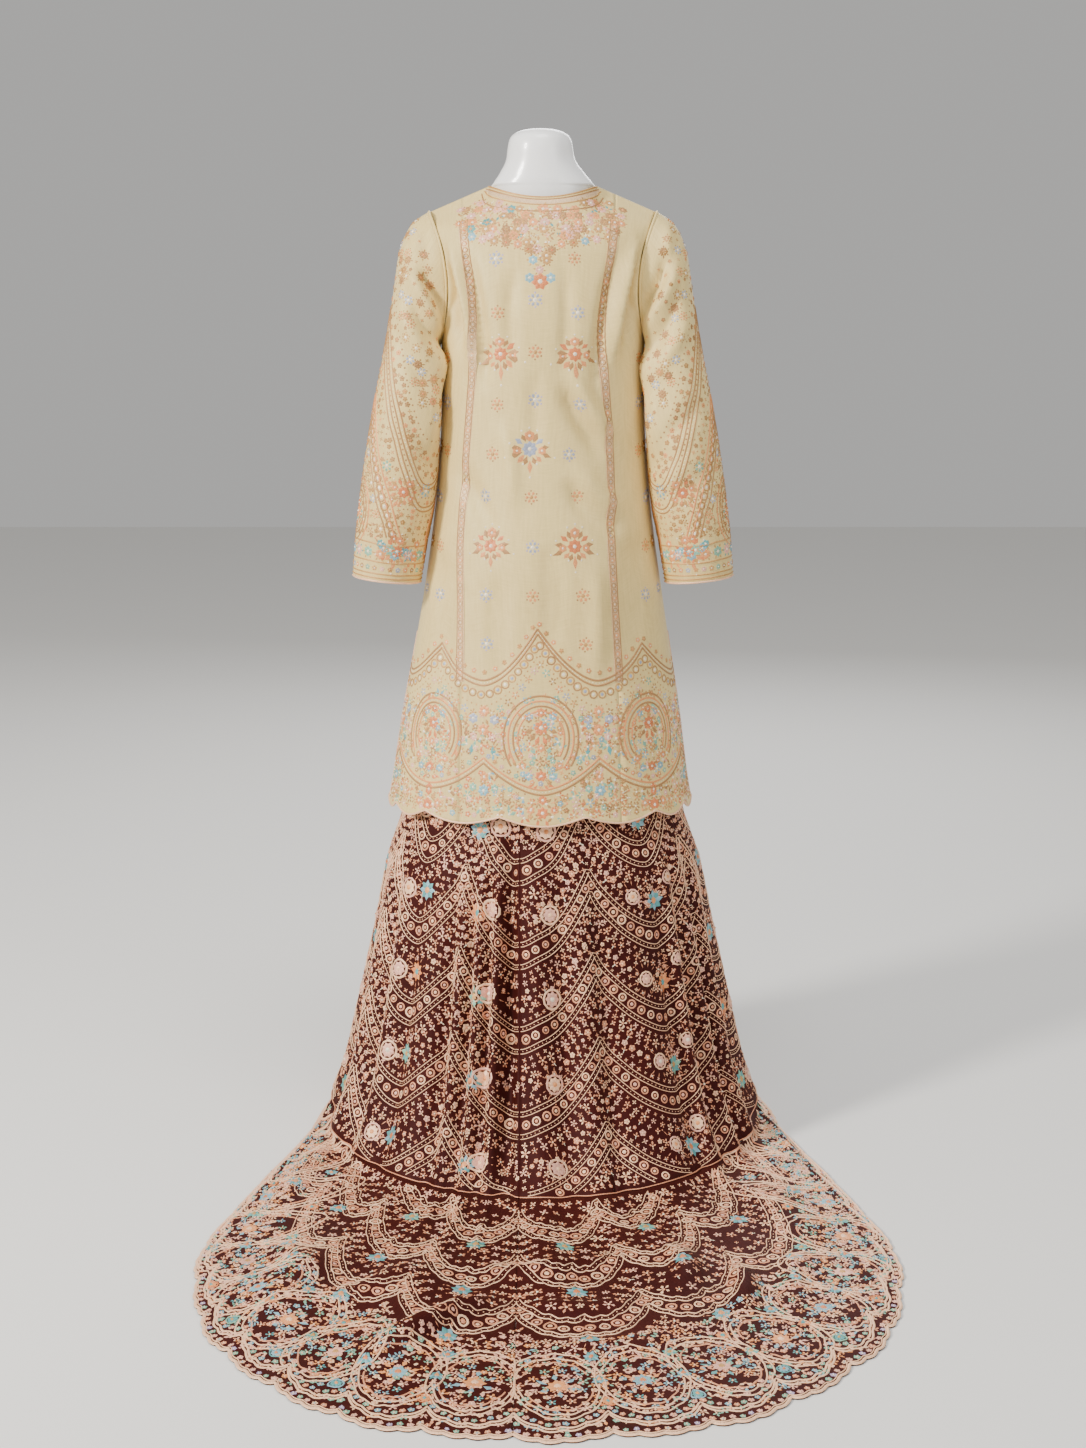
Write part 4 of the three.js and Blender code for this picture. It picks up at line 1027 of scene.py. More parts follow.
# Sharara. Both legs share one outline, an oval at each height, and meet in one upright plane.
sharara = {
    "line": -0.034, "rows": 76, "columns": 176, "trainRows": 48, "ovals": (11, 6),
    "legRows": [  # height, side, back, front
        (0.9847, 0.1364, 0.1014, 0.0974), (0.905, 0.158, 0.116, 0.11), (0.78, 0.175, 0.131, 0.124),
        (0.65, 0.188, 0.141, 0.134), (0.56, 0.201, 0.15, 0.143), (0.49, 0.216, 0.16, 0.151),
        (0.42, 0.24, 0.186, 0.172), (0.3, 0.262, 0.216, 0.2), (0.2, 0.28, 0.247, 0.222),
        (0.11, 0.299, 0.285, 0.245), (0.045, 0.32, 0.33, 0.267), (0.014, 0.335, 0.374, 0.284),
    ],
    "floorOval": (0.0018, 0.343, 0.42, 0.293),
    "hemPlan": [  # x and y of the hem every 15 degrees round from the middle of the back
        (0, -1.03), (0.188, -0.998), (0.345, -0.885), (0.44, -0.73), (0.47, -0.545), (0.428, -0.33),
        (0.364, -0.08), (0.35, 0.03), (0.326, 0.118), (0.283, 0.19), (0.214, 0.25), (0.115, 0.3),
        (0, 0.318),
    ],
    "askew": 0.014,
    "trainShares": (0, 0.3, 0.65, 1),
    # each fold's place round the leg, half width, height, and the rows it fades between
    "folds": {
        "right": [(0.03, 0.018, 12, 4.5, 13), (0.072, 0.014, -9, 4.8, 12.5), (0.105, 0.016, 9, 5, 12.5),
                  (0.14, 0.012, -8, 4.8, 12), (0.205, 0.035, 9, 5.5, 12.5), (0.262, 0.012, -9, 5, 12.5),
                  (0.288, 0.012, 8, 5, 12.5), (0.316, 0.011, -13, 4.6, 12.5), (0.34, 0.011, 10, 5, 12.5),
                  (0.366, 0.011, -12, 4.8, 12.5), (0.4, 0.016, 10, 5.2, 13), (0.45, 0.03, -14, 5.2, 12),
                  (0.53, 0.035, 13, 5.5, 12), (0.62, 0.03, -13, 5, 11.5), (0.71, 0.035, 12, 5.5, 12),
                  (0.81, 0.03, -14, 5, 11.5), (0.9, 0.035, 12, 5.5, 12)],
        "left": [(0.022, 0.016, -24, 4.2, 12.6), (0.046, 0.01, 9, 4.8, 12.6), (0.064, 0.009, -13, 4.6, 12.2),
                 (0.084, 0.009, 9, 5.0, 12.6), (0.102, 0.009, -13, 4.8, 12.4), (0.124, 0.01, 8, 5.2, 12.6),
                 (0.146, 0.012, -11, 5.0, 12.4), (0.19, 0.028, 9, 5.6, 12.5), (0.245, 0.016, -9, 5.2, 12.5),
                 (0.29, 0.018, 8, 5.4, 12.5), (0.33, 0.014, -11, 5, 12.4), (0.385, 0.03, 11, 5.4, 12.5),
                 (0.475, 0.03, -14, 5, 12), (0.56, 0.035, 13, 5.6, 12), (0.655, 0.03, -13, 5.2, 11.5),
                 (0.76, 0.035, 13, 5.5, 12), (0.86, 0.03, -14, 5, 11.5), (0.94, 0.028, 11, 5.5, 12)],
    },
    # each ripple's place round, half width, height, and the shares of the train it lies between
    "ripples": {
        "right": [(0.13, 0.04, 9, 0, 0.75), (0.3, 0.035, 12, 0, 0.7), (0.46, 0.04, 8, 0, 0.8)],
        "left": [(0.09, 0.035, 13, 0.1, 0.95), (0.2, 0.04, 20, 0.25, 1), (0.36, 0.04, 9, 0, 0.7)],
    },
    # rumples in the train, along lines of (x, y), each with its half width and height
    "rumples": [
        ([(-0.235, -0.845), (-0.17, -0.79), (-0.105, -0.715), (-0.045, -0.655)], 0.02, 0.024),
        ([(-0.25, -0.885), (-0.185, -0.832), (-0.12, -0.764), (-0.06, -0.7)], 0.013, -0.006),
        ([(-0.3, -0.7), (-0.22, -0.64), (-0.15, -0.56)], 0.024, 0.012),
        ([(0.25, -0.56), (0.262, -0.64), (0.24, -0.73)], 0.018, 0.017),
        ([(0.175, -0.5), (0.19, -0.59), (0.15, -0.68)], 0.02, 0.012),
        ([(-0.12, -0.56), (-0.03, -0.59), (0.06, -0.57), (0.14, -0.53)], 0.018, 0.012),
        ([(-0.04, -0.69), (0.05, -0.7), (0.14, -0.66)], 0.02, 0.01),
        ([(-0.01, -0.8), (0.08, -0.8), (0.17, -0.75)], 0.022, 0.008),
        ([(-0.39, -0.5), (-0.33, -0.56), (-0.3, -0.64)], 0.022, 0.008),
        ([(0.36, -0.52), (0.33, -0.6), (0.32, -0.7)], 0.022, 0.008),
    ],
    "lobe": (0.012, 0.0045),  # depth of the hem's large lobes and of its fine scallops
    "fine": 4,  # fine scallops in a lobe
}
kneeRow = len(sharara["legRows"]) - 1
lastLegRow = kneeRow + len(sharara["trainShares"])


def legRing(row, angle):
    if row <= kneeRow:
        return ovalRing(sharara["legRows"][row], angle)
    turned = np.arctan2(np.sin(angle), np.cos(angle))
    plan = through(np.array(sharara["hemPlan"]), np.abs(turned) * 12 / np.pi)
    x = np.where(turned < 0, -1, 1) * plan[..., 0] + sharara["askew"] / 2 * np.minimum(plan[..., 0] / 0.4, 1)
    hem = np.stack([x, plan[..., 1], sharara["floorOval"][0] + 0 * x], axis=-1)
    share = sharara["trainShares"][row - kneeRow - 1]
    return mix(ovalRing(sharara["floorOval"], angle), hem, share)


def lineAngle(row, inFront):
    # the angle at which a row crosses the line between the legs, found by halving
    low, high = (np.pi + 0.8, np.pi) if inFront else (-0.8, 0.0)
    for _ in range(40):
        middle = np.array((low + high) / 2)
        if legRing(row, middle)[0] < sharara["line"]:
            low = float(middle)
        else:
            high = float(middle)
    return (low + high) / 2


def legSkin(side, around, rows):
    # The leg's outer face at each share around and each row: rings joined by the cubic, then pushed out by
    # the folds, which turn into low ridges where the cloth lies on the floor
    direction = 1 if side == "right" else -1
    rings = []
    for row in range(lastLegRow + 1):
        behind, before = lineAngle(row, False), lineAngle(row, True)
        rings.append(legRing(row, mix(behind, before if direction > 0 else before - 2 * np.pi, around)))
    grid = through(np.array(rings), rows)
    grid[..., 2] = np.maximum(grid[..., 2], sharara["floorOval"][0])
    around, row = around[None], rows[:, None]
    fold = np.zeros(grid.shape[:2])
    edges = ease(around / 0.012) * ease((1 - around) / 0.012)
    for place, wide, deep, start, end in sharara["folds"][side]:
        bump = np.exp(-(((around - place) / wide) ** 2))
        fold += deep / 1000 * bump * ease((row - start) / 3.2) * ease((end + 1 - row) / 1.5) * edges
    out = unit(np.stack([grid[..., 0] / 1.1, grid[..., 1], 0 * grid[..., 0]], axis=-1))
    lying = ease((row - kneeRow + 0.6) / 1.2)
    grid += out * (fold * (1 - lying))[..., None]
    share = (row - kneeRow - 1) / (len(sharara["trainShares"]) - 1)
    ripple = np.zeros(grid.shape[:2])
    for place, wide, high, start, end in sharara["ripples"][side]:
        along = ease(1 - np.abs(share - (start + end) / 2) / ((end - start) / 2))
        ripple += high / 1000 * along * np.exp(-(((around - place) / wide) ** 2))
    rumple = creaseLift(grid, sharara["rumples"], (0, 1)) * ease((row - kneeRow - 0.9) / 0.8)
    rumple *= ease((lastLegRow - row) / 0.35)
    grid[..., 2] += np.maximum(np.maximum(fold, 0) * lying * 0.6 + ripple + rumple, 0)
    grid[..., 0] += direction * 0.00015
    return grid


def goreChart(side):
    around = np.linspace(0, 1, sharara["columns"] + 1)
    grid = legSkin(side, around, np.linspace(0, kneeRow, 400))
    grid = evenRows(grid, sharara["rows"])
    return Chart(grid, -1 if side == "right" else 1, up=-1)


def hemNotch(place):
    # The depth cut into the hem at a place counted in lobes: large notches between lobes, small ones within
    large = 1 - np.abs(np.sin(np.pi * place)) ** 0.7
    small = 1 - np.abs(np.sin(np.pi * place * sharara["fine"]))
    return sharara["lobe"][0] * large + sharara["lobe"][1] * small


def trainChart(side, fromShare, toShare, lobes, rows):
    # Columns at equal lengths of the hem, so that the lobes are all one size
    columns = lobes * 16
    around = np.linspace(fromShare, toShare, 401)
    hem = legSkin(side, around, np.array([float(lastLegRow)]))[0]
    run = running(hem)
    cut = np.interp(np.linspace(0, run[-1], columns + 1), run, around)
    grid = legSkin(side, cut, np.linspace(kneeRow + 0.02, lastLegRow, 260))
    notch = hemNotch(np.linspace(0, lobes, columns + 1))
    chart = Chart(evenRows(grid, rows, shrink=notch), -1 if side == "right" else 1, up=-1)
    chart.lobes = lobes
    return chart


gapAtSide = 0.003
goreCharts, trainCharts = {}, {}
goreSpans = {"back_inner": (0, 22), "back": (22, 66), "side": (66, 110), "front": (110, 154),
             "front_inner": (154, 176)}
backLobes, frontLobes = sharara["ovals"]
for side in ("left", "right"):
    goreCharts[side] = goreChart(side)
    trainCharts[side] = {
        "train": trainChart(side, 0, 0.5 - gapAtSide, backLobes, sharara["trainRows"]),
        "front_flare": trainChart(side, 0.5 + gapAtSide, 1, frontLobes, 14),
    }
    for part, span in goreSpans.items():
        goreCharts[side].panel(f"sharara_{side}_{part}_gore", shararaCloth, span)
    for part, chart in trainCharts[side].items():
        chart.panel(f"sharara_{side}_{part}", shararaCloth)
print("sharara cloth made")


# The inner legs and the waistband
def innerLeg(side):
    # A flat panel beside the line between the legs, ruled between the gores' two edges there
    direction = 1 if side == "right" else -1
    chart = goreCharts[side]
    behind, before = chart.grid[:, 0], chart.grid[:, -1]
    heights = np.linspace(0.65, 0.013, 41)
    inset = np.where(heights > 0.49, 0.003, 0.0062)
    back = np.interp(heights, behind[::-1, 2], behind[::-1, 1]) + inset
    front = np.interp(heights, before[::-1, 2], before[::-1, 1]) - inset
    y = mix(back[:, None], front[:, None], np.linspace(0, 1, 17)[None])
    x = np.full(y.shape, sharara["line"] + direction * 0.00035)
    grid = np.stack([x, y, heights[:, None] + 0 * y], axis=2)
    Chart(grid, direction, up=-1).panel(f"sharara_{side}_inner_leg", (0.0016, shararaSilk, "maroon"))


def waistband():
    # An oval ring 35 mm high on the form, closed on itself, that swells softly between its edges
    rows = np.linspace(0, 1, 11)
    angle = np.linspace(0, 1, 97)[None] * 2 * np.pi
    ends = ((1.02, 0.985), (0.126, 0.134), (0.092, 0.099), (0.091, 0.095))
    grid = ovalRing([mix(*pair, rows)[:, None] for pair in ends], angle)
    roll = 0.0005 * np.sin(np.pi * rows)[:, None]
    grid += unit(grid * (1, 1, 0)) * (0.0024 + roll)[..., None]
    Chart(grid, -1, up=-1, closed=True).panel("sharara_waistband", shararaCloth)


innerLeg("left")
innerLeg("right")
waistband()
print("inner legs and waistband made")


# Embroidery. Colours of the threads, as light they give back
dye = {
    "rose": (0.74, 0.315, 0.17), "cream": (0.94, 0.57, 0.35), "gold": (0.42, 0.21, 0.055),
    "peach": (0.78, 0.31, 0.11), "coral": (0.7, 0.215, 0.072), "pink": (0.82, 0.43, 0.32),
    "teal": (0.1, 0.345, 0.345), "sky": (0.23, 0.44, 0.51), "mint": (0.24, 0.48, 0.34),
    "silver": (0.36, 0.39, 0.49), "pearl": (0.9, 0.78, 0.6), "lilac": (0.5, 0.38, 0.56),
    "tan": (0.44, 0.222, 0.078), "straw": (0.57, 0.3, 0.092), "ivory": (0.7, 0.48, 0.27),
    "braid": (0.74, 0.5, 0.26),
}


def shades(names):
    return np.array([dye[name] for name in names.split()])


def choices(rows):
    return np.array([shades(row) for row in rows.split(",")])


# Motifs, in metres at their real size. Shade 0 is the petals', 1 the heart's, 2 and 3 the leaves' and rays'.
sixTurns, between = range(0, 360, 60), range(30, 390, 60)
blossom = bunch(spokes(0.0006, (20, 95, 160, 225, 300), 0.0062, 0.0034, 0, 0.0014, 0.66),
                disc(0, 0, 0.0017, 1, 0.002, 5))
smallBlossom = flower(0.0046, 5, wide=0.8)
twig = bunch(petal(0, 0.0005, 90, 0.007, 0.0034, 0), spokes(0, (28, 152), 0.0058, 0.003),
             petal(0, 0, -90, 0.0052, 0.0018, 1, 0.0009), disc(0, 0, 0.0014, 1, 0.0018, 5))
roundBlossom = bunch(ring(0.0105, 0.003, 2, 0.0012, 12), flower(0.0092, 8, wide=1.0, high=0.0022),
                     disc(0, 0, 0.0036, 1, 0.0034, 8))
starFlower = bunch(
    *(petal(0, 0, 90 + k * 45, 0.0128, 0.0072, (2, 0)[k % 2], 0.0018, 0.6) for k in range(8)),
    disc(0, 0, 0.0046, 1, 0.0032, 8),
)
spray = rays(0.0125, 0.0215, 12, 3)
sprig = spokes(0.0125, (35, 145, 215, 325), 0.01, 0.005, 2)
medallion = bunch(ring(0.0056, 0.0028, 0, 0.0011, 10), disc(0, 0, 0.0031, 1, 0.0014))
bead = disc(0, 0, 0.001, 0, 0.0012, 5)
sequin = disc(0, 0, 0.0019, 0, 0.001)
crossStitch = bunch(spokes(0, range(45, 405, 90), 0.0042, 0.0024, 0, 0.001),
                    disc(0, 0, 0.0013, 1, 0.0014, 5))
leafPair = bunch(spokes(0, (50, 130), 0.011, 0.005), disc(0, 0.001, 0.0022, 1, 0.0016))
leaf = petal(0, 0, 90, 0.013, 0.0062, 0, 0.0013)
bouquet = bunch(
    spokes(0.009, between, 0.015, 0.007, 2), spokes(0, range(90, 450, 45), 0.0125, 0.0075, 0, 0.0018, 0.6),
    disc(0, 0, 0.0045, 1, 0.003, 8), dots(0.0225, sixTurns, 0.0028, 3, 0.0015, 6),
)

# Sharara: swags hang from cusps on the gores' seams, four to a leg, in groups up the leg
swag = {
    "pitch": 0.1225, "drop": 0.104, "power": 1.8, "first": 0.006, "top": 0.575,
    # each valley's place round the leg, half the space between its two flowers, and whether there is a third
    "valleys": {
        "right": [(0.052, 0, False), (0.255, 0, True), (0.5, 0.018, False), (0.75, 0, True),
                  (0.94, 0.016, False)],
        "left": [(0.075, 0.015, False), (0.255, 0.019, False), (0.5, 0, True), (0.75, 0.019, False),
                 (0.94, 0, False)],
    },
    # a group's rows by their distance under its first cord, each a motif at a pitch, and whether the row is
    # open round the valleys' flowers
    "rows": [
        (0.0455, crossStitch, 0.012, False), (0.0575, blossom, 0.015, False), (0.0715, twig, 0.0145, True),
        (0.0855, smallBlossom, 0.0135, True), (0.0985, twig, 0.014, True),
        (0.111, crossStitch, 0.0115, False),
    ],
    "foot": 0.007,
    # the left leg's fill is sparser than the right's, which shows the left leg darker: painted shade that
    # offsets the key light falling more on that side
    "fillRoom": {"left": 0.0132, "right": 0.0104},
}
trainWork = {
    "borderDeep": 0.235, "ovalWide": 0.057, "ovalTall": 0.078, "ovalAt": 0.128, "fillPitch": 0.0125,
    "fillRoom": (0.0094, 0.017), "fillSize": (1.15, 1.1), "swagPitch": 0.14,
    # a swag's rows, by their distance from its first line: two cords with beads, or a motif
    "swagRows": [(0.0, None), (0.02, medallion), (0.04, None), (0.062, blossom), (0.085, twig),
                 (0.108, blossom)],
}
rosePalettes = choices("rose cream, cream rose, rose pearl, pink cream")
medallionPalettes = choices("rose cream, cream rose, rose pink")
flowerPalettes = choices("pink cream cream rose, cream peach pink rose, pink pearl cream tan")
starPalettes = choices("teal peach sky rose, sky coral teal rose, teal straw mint rose, "
                       "peach teal coral rose")
sprayPalette = shades("cream cream rose rose")


def runs(mask):
    # the starts and ends of the stretches where the mask holds
    edge = np.flatnonzero(np.diff(np.concatenate([[0], mask.astype(int), [0]])))
    return [(a, b) for a, b in zip(edge[::2], edge[1::2]) if b - a > 3]


def swagShape(share):
    # 0 in a swag's valley and 1 at its cusps, by a power of the distance from the valley
    return np.abs(2 * np.mod(share, 1) - 1) ** swag["power"]


def scatter(work, uu, vv, motifs, palettes, sizes, zones):
    # A motif and a palette at random in each place, with palettes and a size for each zone
    kind = work.random.integers(0, len(motifs), len(uu))
    for index, motif in enumerate(motifs):
        for zone, tints, size in zip(zones, palettes, sizes):
            pick = (kind == index) & zone
            tint = tints[work.random.integers(0, len(tints), pick.sum())]
            turn = work.random.uniform(0, 6.28, pick.sum())
            work.stamp(motif, uu[pick], vv[pick], tint, turn, size)


def fillWith(work, uu, vv, room, motifs, palettes, size=1.0):
    free = work.clear(uu, vv, room)
    scatter(work, uu[free], vv[free], motifs, [palettes], [size], [True])


def stitchGores(side):
    chart = goreCharts[side]
    columns = chart.columns
    work = Stitching(chart, 11 if side == "left" else 12)
    u = np.linspace(0.25, columns - 0.25, 400)
    rise = swagShape((u / columns - 0.125) * 4) * swag["drop"]

    def stretches(height, parted=False):
        # a row's stretches on the cloth, with or without an opening in each valley
        level = height + rise
        shown = (level > swag["foot"]) & (level < swag["top"])
        if parted:
            shown &= rise >= swag["drop"] * 0.16
        return [(u[a:b], chart.rowAt(u[a:b], level[a:b])) for a, b in runs(shown)]

    for group in range(-1, int(swag["top"] / swag["pitch"]) + 1):
        base = swag["first"] + group * swag["pitch"]
        for drop in (0.0, 0.0325):
            for line in stretches(base - drop):
                work.double(*line, 0.0066, 0.0015, 0.0011, "cream", bead, 0.0068, "cream")
        for line in stretches(base - 0.0163):
            work.row(medallion, *line, 0.0172, medallionPalettes, loose=0.12)
        for drop, motif, pitch, parted in swag["rows"]:
            for line in stretches(base - drop, parted):
                work.row(motif, *line, pitch, rosePalettes, loose=0.3, skip=group % 4)
        # in each valley a round pale flower and a star-shaped coloured one, and on some a third
        for k, (at, apart, trio) in enumerate(swag["valleys"][side]):
            height = base + 0.043
            if not 0.03 < height < swag["top"]:
                continue
            if trio:
                dx, dy, star = [-0.036, 0.0, 0.032], [0.004, -0.008, 0.018], 1
            elif apart:
                dx, dy, star = [-apart, apart], [0.004, -0.004], (k + (side == "left")) % 2
            else:
                dx, dy, star = [0.0], [0.0], None
            spots = chart.step(at * columns, chart.rowAt(at * columns, height), dx, dy)
            isStar = np.arange(len(dx)) == star
            work.stamp(roundBlossom, *(part[~isStar] for part in spots), flowerPalettes[(k + group) % 3],
                       size=1.05 if trio else 1.35)
            work.stamp(starFlower, *(part[isStar] for part in spots), starPalettes[(k + group) % 4],
                       size=1.3)
            work.stamp(spray, *spots, sprayPalette, size=1.22)
    # what is left bare is filled with small sprigs, more sparsely on the left leg as painted shade against
    # the key light
    fillU, fillLift = (part.ravel() for part in np.meshgrid(
        np.arange(1.0, columns - 1, columns / 84), np.arange(0.012, swag["top"], 0.0095)))
    fillU = np.clip(fillU + work.random.uniform(-1, 1, fillU.size), 0.5, columns - 0.5)
    fillLift = fillLift + work.random.uniform(-0.003, 0.003, fillLift.size)
    fillWith(work, fillU, chart.rowAt(fillU, fillLift), swag["fillRoom"][side],
             (twig, blossom, smallBlossom, crossStitch), rosePalettes, 0.95)
    # the thin cord over the ring seam
    work.cord(np.linspace(0.1, columns - 0.1, 400), np.full(400, chart.rows - 0.12), 0.0019, 0.0013, "rose")
    work.piece(f"sharara_{side}_leg")


def trainOvals(work, lobes):
    # Each oval has arcs in both ends and a bouquet between, and in front the ovals shrink with the cloth
    chart, perLobe = work.chart, work.chart.columns / lobes
    eighths = np.arange(8) * np.pi / 4 + 0.39
    for k, at in enumerate((np.arange(lobes) + 0.5) * perLobe):
        size = min(1.0, (chart.lengthAt(at) - 0.05) / (trainWork["borderDeep"] - 0.02))
        if size < 0.35:
            continue
        wide = trainWork["ovalWide"] * min(1.0, size + 0.25)
        tall, height = trainWork["ovalTall"] * size, 0.048 + (trainWork["ovalAt"] - 0.048) * size
        middle = (at, chart.rowAt(at, height))
        for shrink, low, tint in ((1.0, 0.0, "cream"), (0.87, 0.15, "cream"), (0.74, 0.3, "rose")):
            for start in (0, np.pi):
                arc = np.linspace(start + low * 1.2, start + np.pi - low * 1.2, 37)
                line = chart.step(*middle, wide * shrink * np.cos(arc), tall * shrink * np.sin(arc))
                work.cord(*line, 0.0027, 0.0012, tint)
        palette = choices("peach cream sky pink, sky coral peach cream, pink straw teal peach")[k % 3]
        work.stamp(bouquet, *middle, palette, size=min(1.15, 0.4 + size * 0.8))
        spots = chart.step(*middle, 0.03 * np.cos(eighths) * (wide / 0.057), 0.04 * np.sin(eighths) * size)
        work.stamp(blossom, *spots, choices("pink cream, sky cream, mint peach, peach cream, pink cream, "
                                            "teal cream, rose cream, sky pearl"))
        # between two ovals: a star flower above, a round one below and a star between them
        if k == lobes - 1:
            continue
        for dy, motif in ((0.055 * size, starFlower), (-0.052 * size, roundBlossom), (0.0, starFlower)):
            spot = chart.step(at + perLobe / 2, middle[1], 0.0, dy)
            work.stamp(motif, *spot, starPalettes[(k + int(dy * 100)) % 4], size=0.85)
            work.stamp(sprig, *spot, shades("cream cream mint teal"), size=0.9)


def fillTrain(work):
    # Rows of places at equal distances from the hem, closer together in the border than above it
    chart, pitch = work.chart, trainWork["fillPitch"]
    uu, vv = [], []
    for fromHem in np.arange(0.03, chart.lengths.max(), pitch):
        jitter = work.random.uniform(-0.0035, 0.0035, 2000)
        row = chart.grid[int(round(chart.rows * (1 - min(fromHem / chart.lengths.max(), 1))))]
        long = running(row)[-1] + 0.02
        atU = np.linspace(0.5, chart.columns - 0.5, int(long / pitch))
        atV = chart.rowAt(atU, fromHem + jitter[:len(atU)])
        good = fromHem < chart.lengthAt(atU) - 0.006
        uu.append(atU[good] + work.random.uniform(-0.3, 0.3, good.sum()))
        vv.append(atV[good])
    uu, vv = np.concatenate(uu), np.concatenate(vv)
    nearHem = chart.rowAt(uu, trainWork["borderDeep"]) < vv
    closely, loosely = trainWork["fillRoom"]
    free = np.where(nearHem, work.clear(uu, vv, closely), work.clear(uu, vv, loosely))
    nearHem = nearHem[free]
    bright = choices("sky cream, pink cream, mint cream, peach cream, cream peach, rose cream, cream rose, "
                     "pink cream")
    scatter(work, uu[free], vv[free], (smallBlossom, leafPair, blossom, twig), (bright, rosePalettes),
            trainWork["fillSize"], (nearHem, ~nearHem))


def stitchTrain(name, chart, seed):
    work = Stitching(chart, seed)
    lobes, perLobe = chart.lobes, chart.columns / chart.lobes
    u = np.linspace(0.1, chart.columns - 0.1, lobes * 36)
    share, length = u / perLobe, chart.lengthAt(u)
    lobeRise = 1 - np.abs(np.sin(np.pi * share)) ** 0.7
    # the hem's own edge: a thick cord on the cut edge and a thin one beside it
    work.cord(u, chart.rowAt(u, 0.0016), 0.0046, 0.0022, "cream")
    work.cord(u, chart.rowAt(u, 0.0072), 0.0018, 0.001, "cream")
    work.row(smallBlossom, u, chart.rowAt(u, 0.0135), 0.0125,
             choices("lilac pearl, pink cream, rose cream, cream sky, pink cream, mint cream"), loose=0.15)
    # a double scalloped line round the lobes, heavier than the others, and flowers above it
    for offset in (0.0235, 0.0305):
        v = chart.rowAt(u, offset + 0.02 * lobeRise)
        for a, b in runs(length > 0.06):
            work.cord(u[a:b], v[a:b], 0.0034, 0.0013, "cream")
    v = chart.rowAt(u, 0.0395 + 0.024 * lobeRise)
    palettes = choices("rose cream, mint cream, pink peach, sky cream")
    for a, b in runs(length > 0.075):
        work.row(smallBlossom, u[a:b], v[a:b], 0.0105, palettes, loose=0.15)
    trainOvals(work, lobes)
    # swags between the border and the ring seam, two lobes wide
    shape = swagShape(share / 2)
    valleys = (np.arange(lobes // 2) * 2 + 1) * perLobe
    for line in range(5):
        base = trainWork["borderDeep"] + 0.01 + line * trainWork["swagPitch"]
        for offset, motif in trainWork["swagRows"]:
            level = base + offset + 0.055 * shape
            v = chart.rowAt(u, level)
            for a, b in runs((level < length - 0.008) & (length > 0.12)):
                if motif is None:
                    work.double(u[a:b], v[a:b], 0.008, 0.0018, 0.0012, "cream", bead, 0.0085, "cream")
                elif motif is medallion:
                    work.row(medallion, u[a:b], v[a:b], 0.02, medallionPalettes, size=1.2, loose=0.12)
                else:
                    work.row(motif, u[a:b], v[a:b], 0.0215, rosePalettes, size=1.15, loose=0.3, skip=line)
        level = base - 0.022
        good = valleys[(level < chart.lengthAt(valleys) - 0.03) & (level > 0.2)]
        for motif, palette, size in ((starFlower, starPalettes[line % 4], 1.15), (spray, sprayPalette, 1.1)):
            work.stamp(motif, good, chart.rowAt(good, level), palette, size=size)
    # a row of crosses just under the ring seam
    for a, b in runs(length > 0.12):
        v = chart.rows * 0.0105 / length[a:b]
        work.row(crossStitch, u[a:b], v, 0.0135, rosePalettes, size=1.1, loose=0.3)
    fillTrain(work)
    work.piece(name)


for side in ("left", "right"):
    stitchGores(side)
    for part, chart in trainCharts[side].items():
        stitchTrain(f"sharara_{side}_{part}", chart, 21 if side == "left" else 22)
print("sharara embroidered")


# Kurta embroidery. Places are (x, z) on the back, and the front carries the same work round its own neck.
smallButi = bunch(disc(0, 0, 0.003, 1, 0.002, 8), spokes(0.002, sixTurns, 0.0066, 0.0052, 0, 0.0014, 0.6),
                  dots(0.0085, between, 0.0016, 2, 0.0012, 5))
petalButi = bunch(flower(0.0088, 6, high=0.0016), spokes(0.0055, sixTurns, 0.0068, 0.0036, 2))
largeButi = bunch(
    flower(0.0125, 8, 0, 0, 0.001, 1.0, 0.002), flower(0.0092, 6, 3, 0, 0.021, 1.0, 0.0018),
    flowerPair(0.0072, 6, 3, 0.0185, -0.0015, wide=1.0),
    *(spokes(0.01, (d, 180 - d), size, 0.01, shade, y=0.001) for d, size, shade in (
        (-22, 0.029, 2), (6, 0.024, 2), (36, 0.019, 0), (62, 0.018, 2), (-48, 0.018, 3), (-70, 0.016, 2))),
    petal(0, -0.01, -90, 0.028, 0.009, 3),
    *(disc(x, y, 0.002, 1, 0.0015) for x, y in (
        (-0.029, 0.01), (0.029, 0.01), (0, 0.0335), (0, -0.04), (-0.037, -0.012), (0.037, -0.012),
        (-0.012, 0.029), (0.012, 0.029), (-0.01, -0.021), (0.01, -0.021))),
)
archBouquet = bunch(
    flower(0.0125, 8, 0, 0, 0.02, high=0.002), flower(0.0085, 6, 0, 0, 0.044),
    flowerPair(0.0075, 6, 2, 0.0175, 0.038),
    *(petal(x, y, d, 0.02, 0.009, shade) for x, y, d, shade in (
        (-0.008, 0.018, 200, 3), (0.008, 0.018, -20, 3), (-0.006, 0.014, 235, 3), (0.006, 0.014, -55, 3),
        (-0.002, 0.01, 250, 0), (0.002, 0.01, -70, 0))),
    *(petal(x, y, d, 0.017, 0.0088, 4) for x, y, d in (
        (-0.004, -0.028, 150), (0.004, -0.028, 30), (-0.008, -0.022, 115), (0.008, -0.022, 65))),
    flower(0.0072, 6, 5, 0, -0.01), flowerPair(0.0074, 6, 5, 0.027, -0.036),
    flower(0.01, 7, 0, 0, -0.052, high=0.0018), flowerPair(0.0078, 6, 2, 0.018, -0.053),
    *(petal(x, -0.066, d, 0.014, 0.006, 0) for x, d in (
        (-0.008, 205), (0.008, -25), (-0.004, 235), (0.004, -55))),
)
